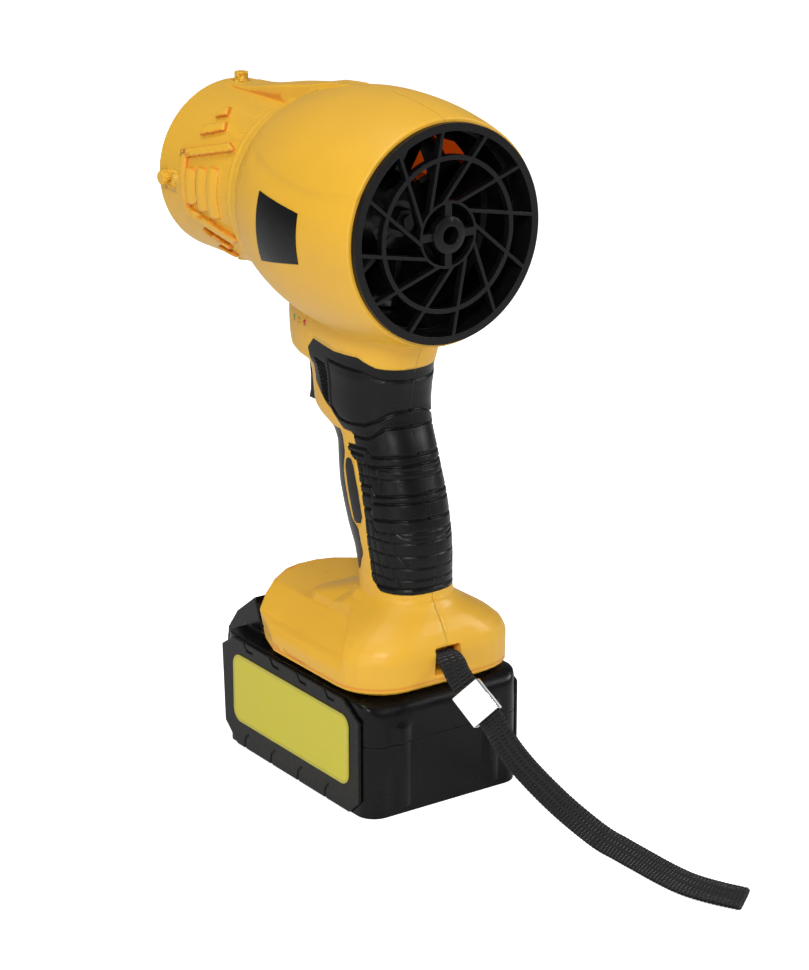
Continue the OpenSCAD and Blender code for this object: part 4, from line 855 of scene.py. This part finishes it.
# %% The strap's route, in millimetres: x, y, z, tilt of its width, turn of its width
strap_route = [
    [-72, 0.5, 60.5, 5, 5], [-76, 1, 61, 6, 8], [-80, 1.5, 59.5, 14, 18], [-84, 2, 56.5, 26, 28],
    [-89, 1.5, 52.5, 38, 34], [-94, 0.5, 48, 41, 36], [-101, -2, 42, 41, 36], [-110, -3, 34, 40, 28],
    [-120, -6, 26, 36, 18], [-132, -12, 16, 32, 8], [-148, -16.5, 9, 30, 3],
    [-158, -19.5, 6.5, 29, 0], [-168, -21.5, 5, 28, -4], [-180, -22.5, 4.4, 27, -10],
    [-191, -24, 4.2, 26, -18], [-201, -27.5, 4.2, 25, -22], [-211, -32.5, 4.2, 24, -24],
]
strap_step = 0.36
strap_width = 10.0
strap_thick = 1.2
layer_gap = 0.75
pin_reach = 1.6
rib_pitch = 1.5


def spline(stations, step):
    """Smooth curve through the stations, with a point about every step millimetres."""
    stations = np.array(stations, float)
    ends = np.vstack([2 * stations[0] - stations[1], stations, 2 * stations[-1] - stations[-2]])
    out = []
    for a, b, c, d in zip(ends[:-3], ends[1:-2], ends[2:-1], ends[3:]):
        count = max(2, int(np.linalg.norm(c[:3] - b[:3]) / step))
        for t in np.arange(count) / count:
            out.append(0.5 * (2 * b + (c - a) * t + (2 * a - 5 * b + 4 * c - d) * t ** 2
                              + (3 * b - a - 3 * c + d) * t ** 3))
    return np.array(out + [stations[-1]])


def unit(rows):
    return rows / np.linalg.norm(rows, axis=-1, keepdims=True)


strap_points = spline(strap_route, strap_step)
strap_line = strap_points[:, :3]

# %% Frames along the strap: forward, across its width, and out of its flat face
strap_forward = unit(np.gradient(strap_line, axis=0))
tilt, turned = np.radians(strap_points[:, 3]), np.radians(strap_points[:, 4])
strap_across = np.stack([-np.sin(turned) * np.cos(tilt), -np.cos(turned) * np.cos(tilt), np.sin(tilt)], 1)
strap_across -= (strap_across * strap_forward).sum(1, keepdims=True) * strap_forward
strap_across = unit(strap_across)
strap_out = np.cross(strap_forward, strap_across)

# %% The doubled webbing's loop: out on one face, round the fold, and back on the other
fold_turns = np.linspace(0, math.pi, 13)[1:-1]


def webbing_loop():
    """Centre, width direction and face direction of every cross-section of the closed loop."""
    rows = []
    for i in range(len(strap_line)):
        rows.append((strap_line[i] + strap_out[i] * layer_gap, strap_across[i], strap_out[i]))
    for fold in fold_turns:
        face = strap_out[-1] * math.cos(fold) + strap_forward[-1] * math.sin(fold)
        rows.append((strap_line[-1] + face * layer_gap, strap_across[-1], face))
    for i in range(len(strap_line) - 1, -1, -1):
        rows.append((strap_line[i] - strap_out[i] * layer_gap, strap_across[i], -strap_out[i]))
    for fold in fold_turns:
        face = -strap_out[0] * math.cos(fold) - strap_forward[0] * math.sin(fold)
        rows.append((strap_line[0] + face * (layer_gap + pin_reach * math.sin(fold)), strap_across[0], face))
    return rows


section_angles = np.linspace(0, 2 * math.pi, 15)[:-1]


def webbing_mesh():
    """A rounded flat section swept round the loop, with a UV map that measures along it."""
    rows = webbing_loop()
    travelled, vertices = 0.0, []
    for k, (centre, across, face) in enumerate(rows):
        if k:
            travelled += float(np.linalg.norm(centre - rows[k - 1][0]))
        rib = 0.5 - 0.5 * math.cos(2 * math.pi * travelled / rib_pitch)
        half_thick = strap_thick / 2 * (0.6 + 0.4 * rib)
        half_width = strap_width / 2 * (0.97 + 0.03 * rib)
        for a in section_angles:
            wide = half_width * math.copysign(abs(math.cos(a)) ** 0.45, math.cos(a))
            thick = half_thick * math.copysign(abs(math.sin(a)) ** 0.6, math.sin(a))
            vertices.append((centre + across * wide + face * thick) * MM)
    sides, rings = len(section_angles), len(rows)
    faces = [
        (k * sides + i, k * sides + (i + 1) % sides,
         (k + 1) % rings * sides + (i + 1) % sides, (k + 1) % rings * sides + i)
        for k in range(rings) for i in range(sides)
    ]
    mesh = bpy.data.meshes.new("wrist webbing")
    mesh.from_pydata([tuple(v) for v in vertices], [], faces)
    lengths = mesh.uv_layers.new(name="along")
    for face in mesh.polygons:
        for corner in face.loop_indices:
            vertex = mesh.loops[corner].vertex_index
            lengths.data[corner].uv = ((vertex % sides) / sides, (vertex // sides) * strap_step)
    return mesh


# %% Webbing finish: a weave that follows the strap's own UV map
yarns_round = 26


def webbing_finish():
    material = moulded("black webbing", (0.010, 0.010, 0.011), 0.72, grain=0.18, grain_depth=0.05,
                       edge=0.0, tint=0.5, gloss_change=0.1, patch=3.0, reflect=0.3)
    tree = material.node_tree
    shader = tree.nodes["Principled BSDF"]
    shader.inputs["Sheen Weight"].default_value = 0.12
    shader.inputs["Sheen Roughness"].default_value = 0.4
    laid = add_node(tree, "UVMap", uv_map="along")
    parts = add_node(tree, "SeparateXYZ")
    join(tree, laid.outputs["UV"], parts.inputs[0])
    ribs = math_node(tree, "MULTIPLY", parts.outputs["Y"], 2 * math.pi / rib_pitch)
    along = math_node(tree, "SINE", ribs, 0.0)
    threads = math_node(tree, "MULTIPLY", parts.outputs["X"], 2 * math.pi * yarns_round)
    weave = math_node(tree, "MULTIPLY", along, math_node(tree, "SINE", threads, 0.0))
    half_along = math_node(tree, "MULTIPLY", along, 0.5)
    raised = math_node(tree, "ADD", half_along, math_node(tree, "MULTIPLY", weave, 0.5))
    # Painted light and shade: the weave's raised threads are lightened and its hollows darkened in the
    # colour, on top of the bump.
    painted_weave_light = add_node(tree, "MapRange", {"From Min": -1.0, "From Max": 1.0, "To Min": 0.25, "To Max": 1.9})
    join(tree, raised, painted_weave_light.inputs["Value"])
    painted_weave_colour = add_node(tree, "Mix", {"Factor": 1.0}, data_type="RGBA", blend_type="MULTIPLY")
    join(tree, shader.inputs["Base Color"].links[0].from_socket, painted_weave_colour.inputs[mix_first])
    join(tree, painted_weave_light.outputs[0], painted_weave_colour.inputs[mix_second])
    join(tree, painted_weave_colour.outputs[mix_result], shader.inputs["Base Color"])
    weave_bump = add_node(tree, "Bump", {"Strength": 1.0, "Distance": 0.45 * MM})
    join(tree, raised, weave_bump.inputs["Height"])
    join(tree, shader.inputs["Normal"].links[0].from_socket, weave_bump.inputs["Normal"])
    join(tree, weave_bump.outputs[0], shader.inputs["Normal"])
    return material


black_webbing = webbing_finish()
strap = bpy.data.objects.new("wrist_webbing", webbing_mesh())
bpy.context.collection.objects.link(strap)
outwards(strap)
smooth_by_angle(strap, 80)
dressed(strap, "blower", black_webbing, "webbing", "wrist_strap")

# %% [markdown]
# ## The slider
# A flat tube of bright metal is pressed round both layers and sets how tight the loop is. It starts
# as a cube that loses its two end faces. A Solidify modifier gives it the sheet's thickness, and a
# Bevel modifier rolls its corners.

# %% The slider
slider_place = [-94, 0.5, 48]
slider_station = int(np.argmin(np.linalg.norm(strap_line - np.array(slider_place), axis=1)))
slider_size = Vector((14.0, 12.4, 5.0)) * MM
bpy.ops.object.select_all(action="DESELECT")
bpy.ops.mesh.primitive_cube_add(size=1)
slider = bpy.context.object
slider.name = "webbing_slider"
slider.scale = slider_size
place_in_mesh(slider)
edit_all(slider)
select_faces(slider, lambda centre, normal: abs(normal.x) > 0.9)
bpy.ops.mesh.delete(type="FACE")
done_editing()
shell = slider.modifiers.new("sheet metal", "SOLIDIFY")
shell.thickness = 0.55 * MM
shell.offset = -1
apply_modifiers(slider)
add_bevel(slider, 1.1 * MM, segments=4, angle=60)
apply_modifiers(slider)
smooth_by_angle(slider, 40)
slider_turn = Matrix((strap_forward[slider_station], strap_across[slider_station],
                      strap_out[slider_station])).transposed().to_4x4()
slider.matrix_world = Matrix.Translation(Vector(strap_line[slider_station]) * MM) @ slider_turn
place_in_mesh(slider)
outwards(slider)
dressed(slider, "blower", bright_metal, "bright_metal", "strap_slider")

# %% [markdown]
# ## Floor and light
# The camera sees a pale floor and a pale room. A key light from behind and above, a weaker one from
# the right and one overhead keep the black parts readable, and a small card stands where the slider's
# face mirrors it into the camera.

# %% Floor
floor_glow = 0.85
bpy.ops.object.select_all(action="DESELECT")
bpy.ops.mesh.primitive_plane_add(size=8, location=(0, 0, -0.0002))
floor = bpy.context.object
floor.name = "studio_floor"
place_in_mesh(floor)
pale = bpy.data.materials.new("pale floor")
pale.use_nodes = True
pale_shader = pale.node_tree.nodes["Principled BSDF"]
pale_shader.inputs["Base Color"].default_value = (0.92, 0.92, 0.92, 1)
pale_shader.inputs["Roughness"].default_value = 0.9
pale_shader.inputs["Specular IOR Level"].default_value = 0.1
pale_shader.inputs["Emission Color"].default_value = (1, 1, 1, 1)
seen = add_node(pale.node_tree, "LightPath").outputs["Is Camera Ray"]
glow_seen = math_node(pale.node_tree, "MULTIPLY", seen, floor_glow)
join(pale.node_tree, glow_seen, pale_shader.inputs["Emission Strength"])
floor.data.materials.append(pale)

# %% Lights
room_light, room_seen = 0.24, 1.0
light_target = Vector((0, 0, 0.14))
world = bpy.data.worlds.new("soft room")
world.use_nodes = True
world.node_tree.nodes["Background"].inputs["Color"].default_value = (1, 1, 1, 1)
seen = add_node(world.node_tree, "LightPath").outputs["Is Camera Ray"]
brightness = add_node(world.node_tree, "MapRange", {"To Min": room_light, "To Max": room_seen})
join(world.node_tree, seen, brightness.inputs["Value"])
join(world.node_tree, brightness.outputs[0], world.node_tree.nodes["Background"].inputs["Strength"])
bpy.context.scene.world = world


def soft_light(name, place, size, power):
    light = bpy.data.lights.new(name, "AREA")
    light.shape = "DISK"
    light.size = size
    light.energy = power
    lamp = bpy.data.objects.new(name, light)
    bpy.context.collection.objects.link(lamp)
    lamp.location = place
    aim = light_target - Vector(place)
    lamp.rotation_euler = aim.to_track_quat("-Z", "Y").to_euler()
    return lamp


soft_light("key light", (-1.1, 0.9, 1.1), 0.4, 14)
soft_light("side light", (-0.9, -1.2, 0.8), 0.35, 8)
soft_light("top light", (0.1, 0.3, 1.7), 0.6, 9)
metal_face = Vector(strap_out[slider_station])
slider_middle = Vector(strap_line[slider_station]) * MM
sight = (slider_middle - view_from).normalized()
mirrored = sight - 2 * sight.dot(metal_face) * metal_face
soft_light("card for the metal", slider_middle + mirrored, 0.62, 1.1)
bpy.context.scene.view_settings.view_transform = "Standard"
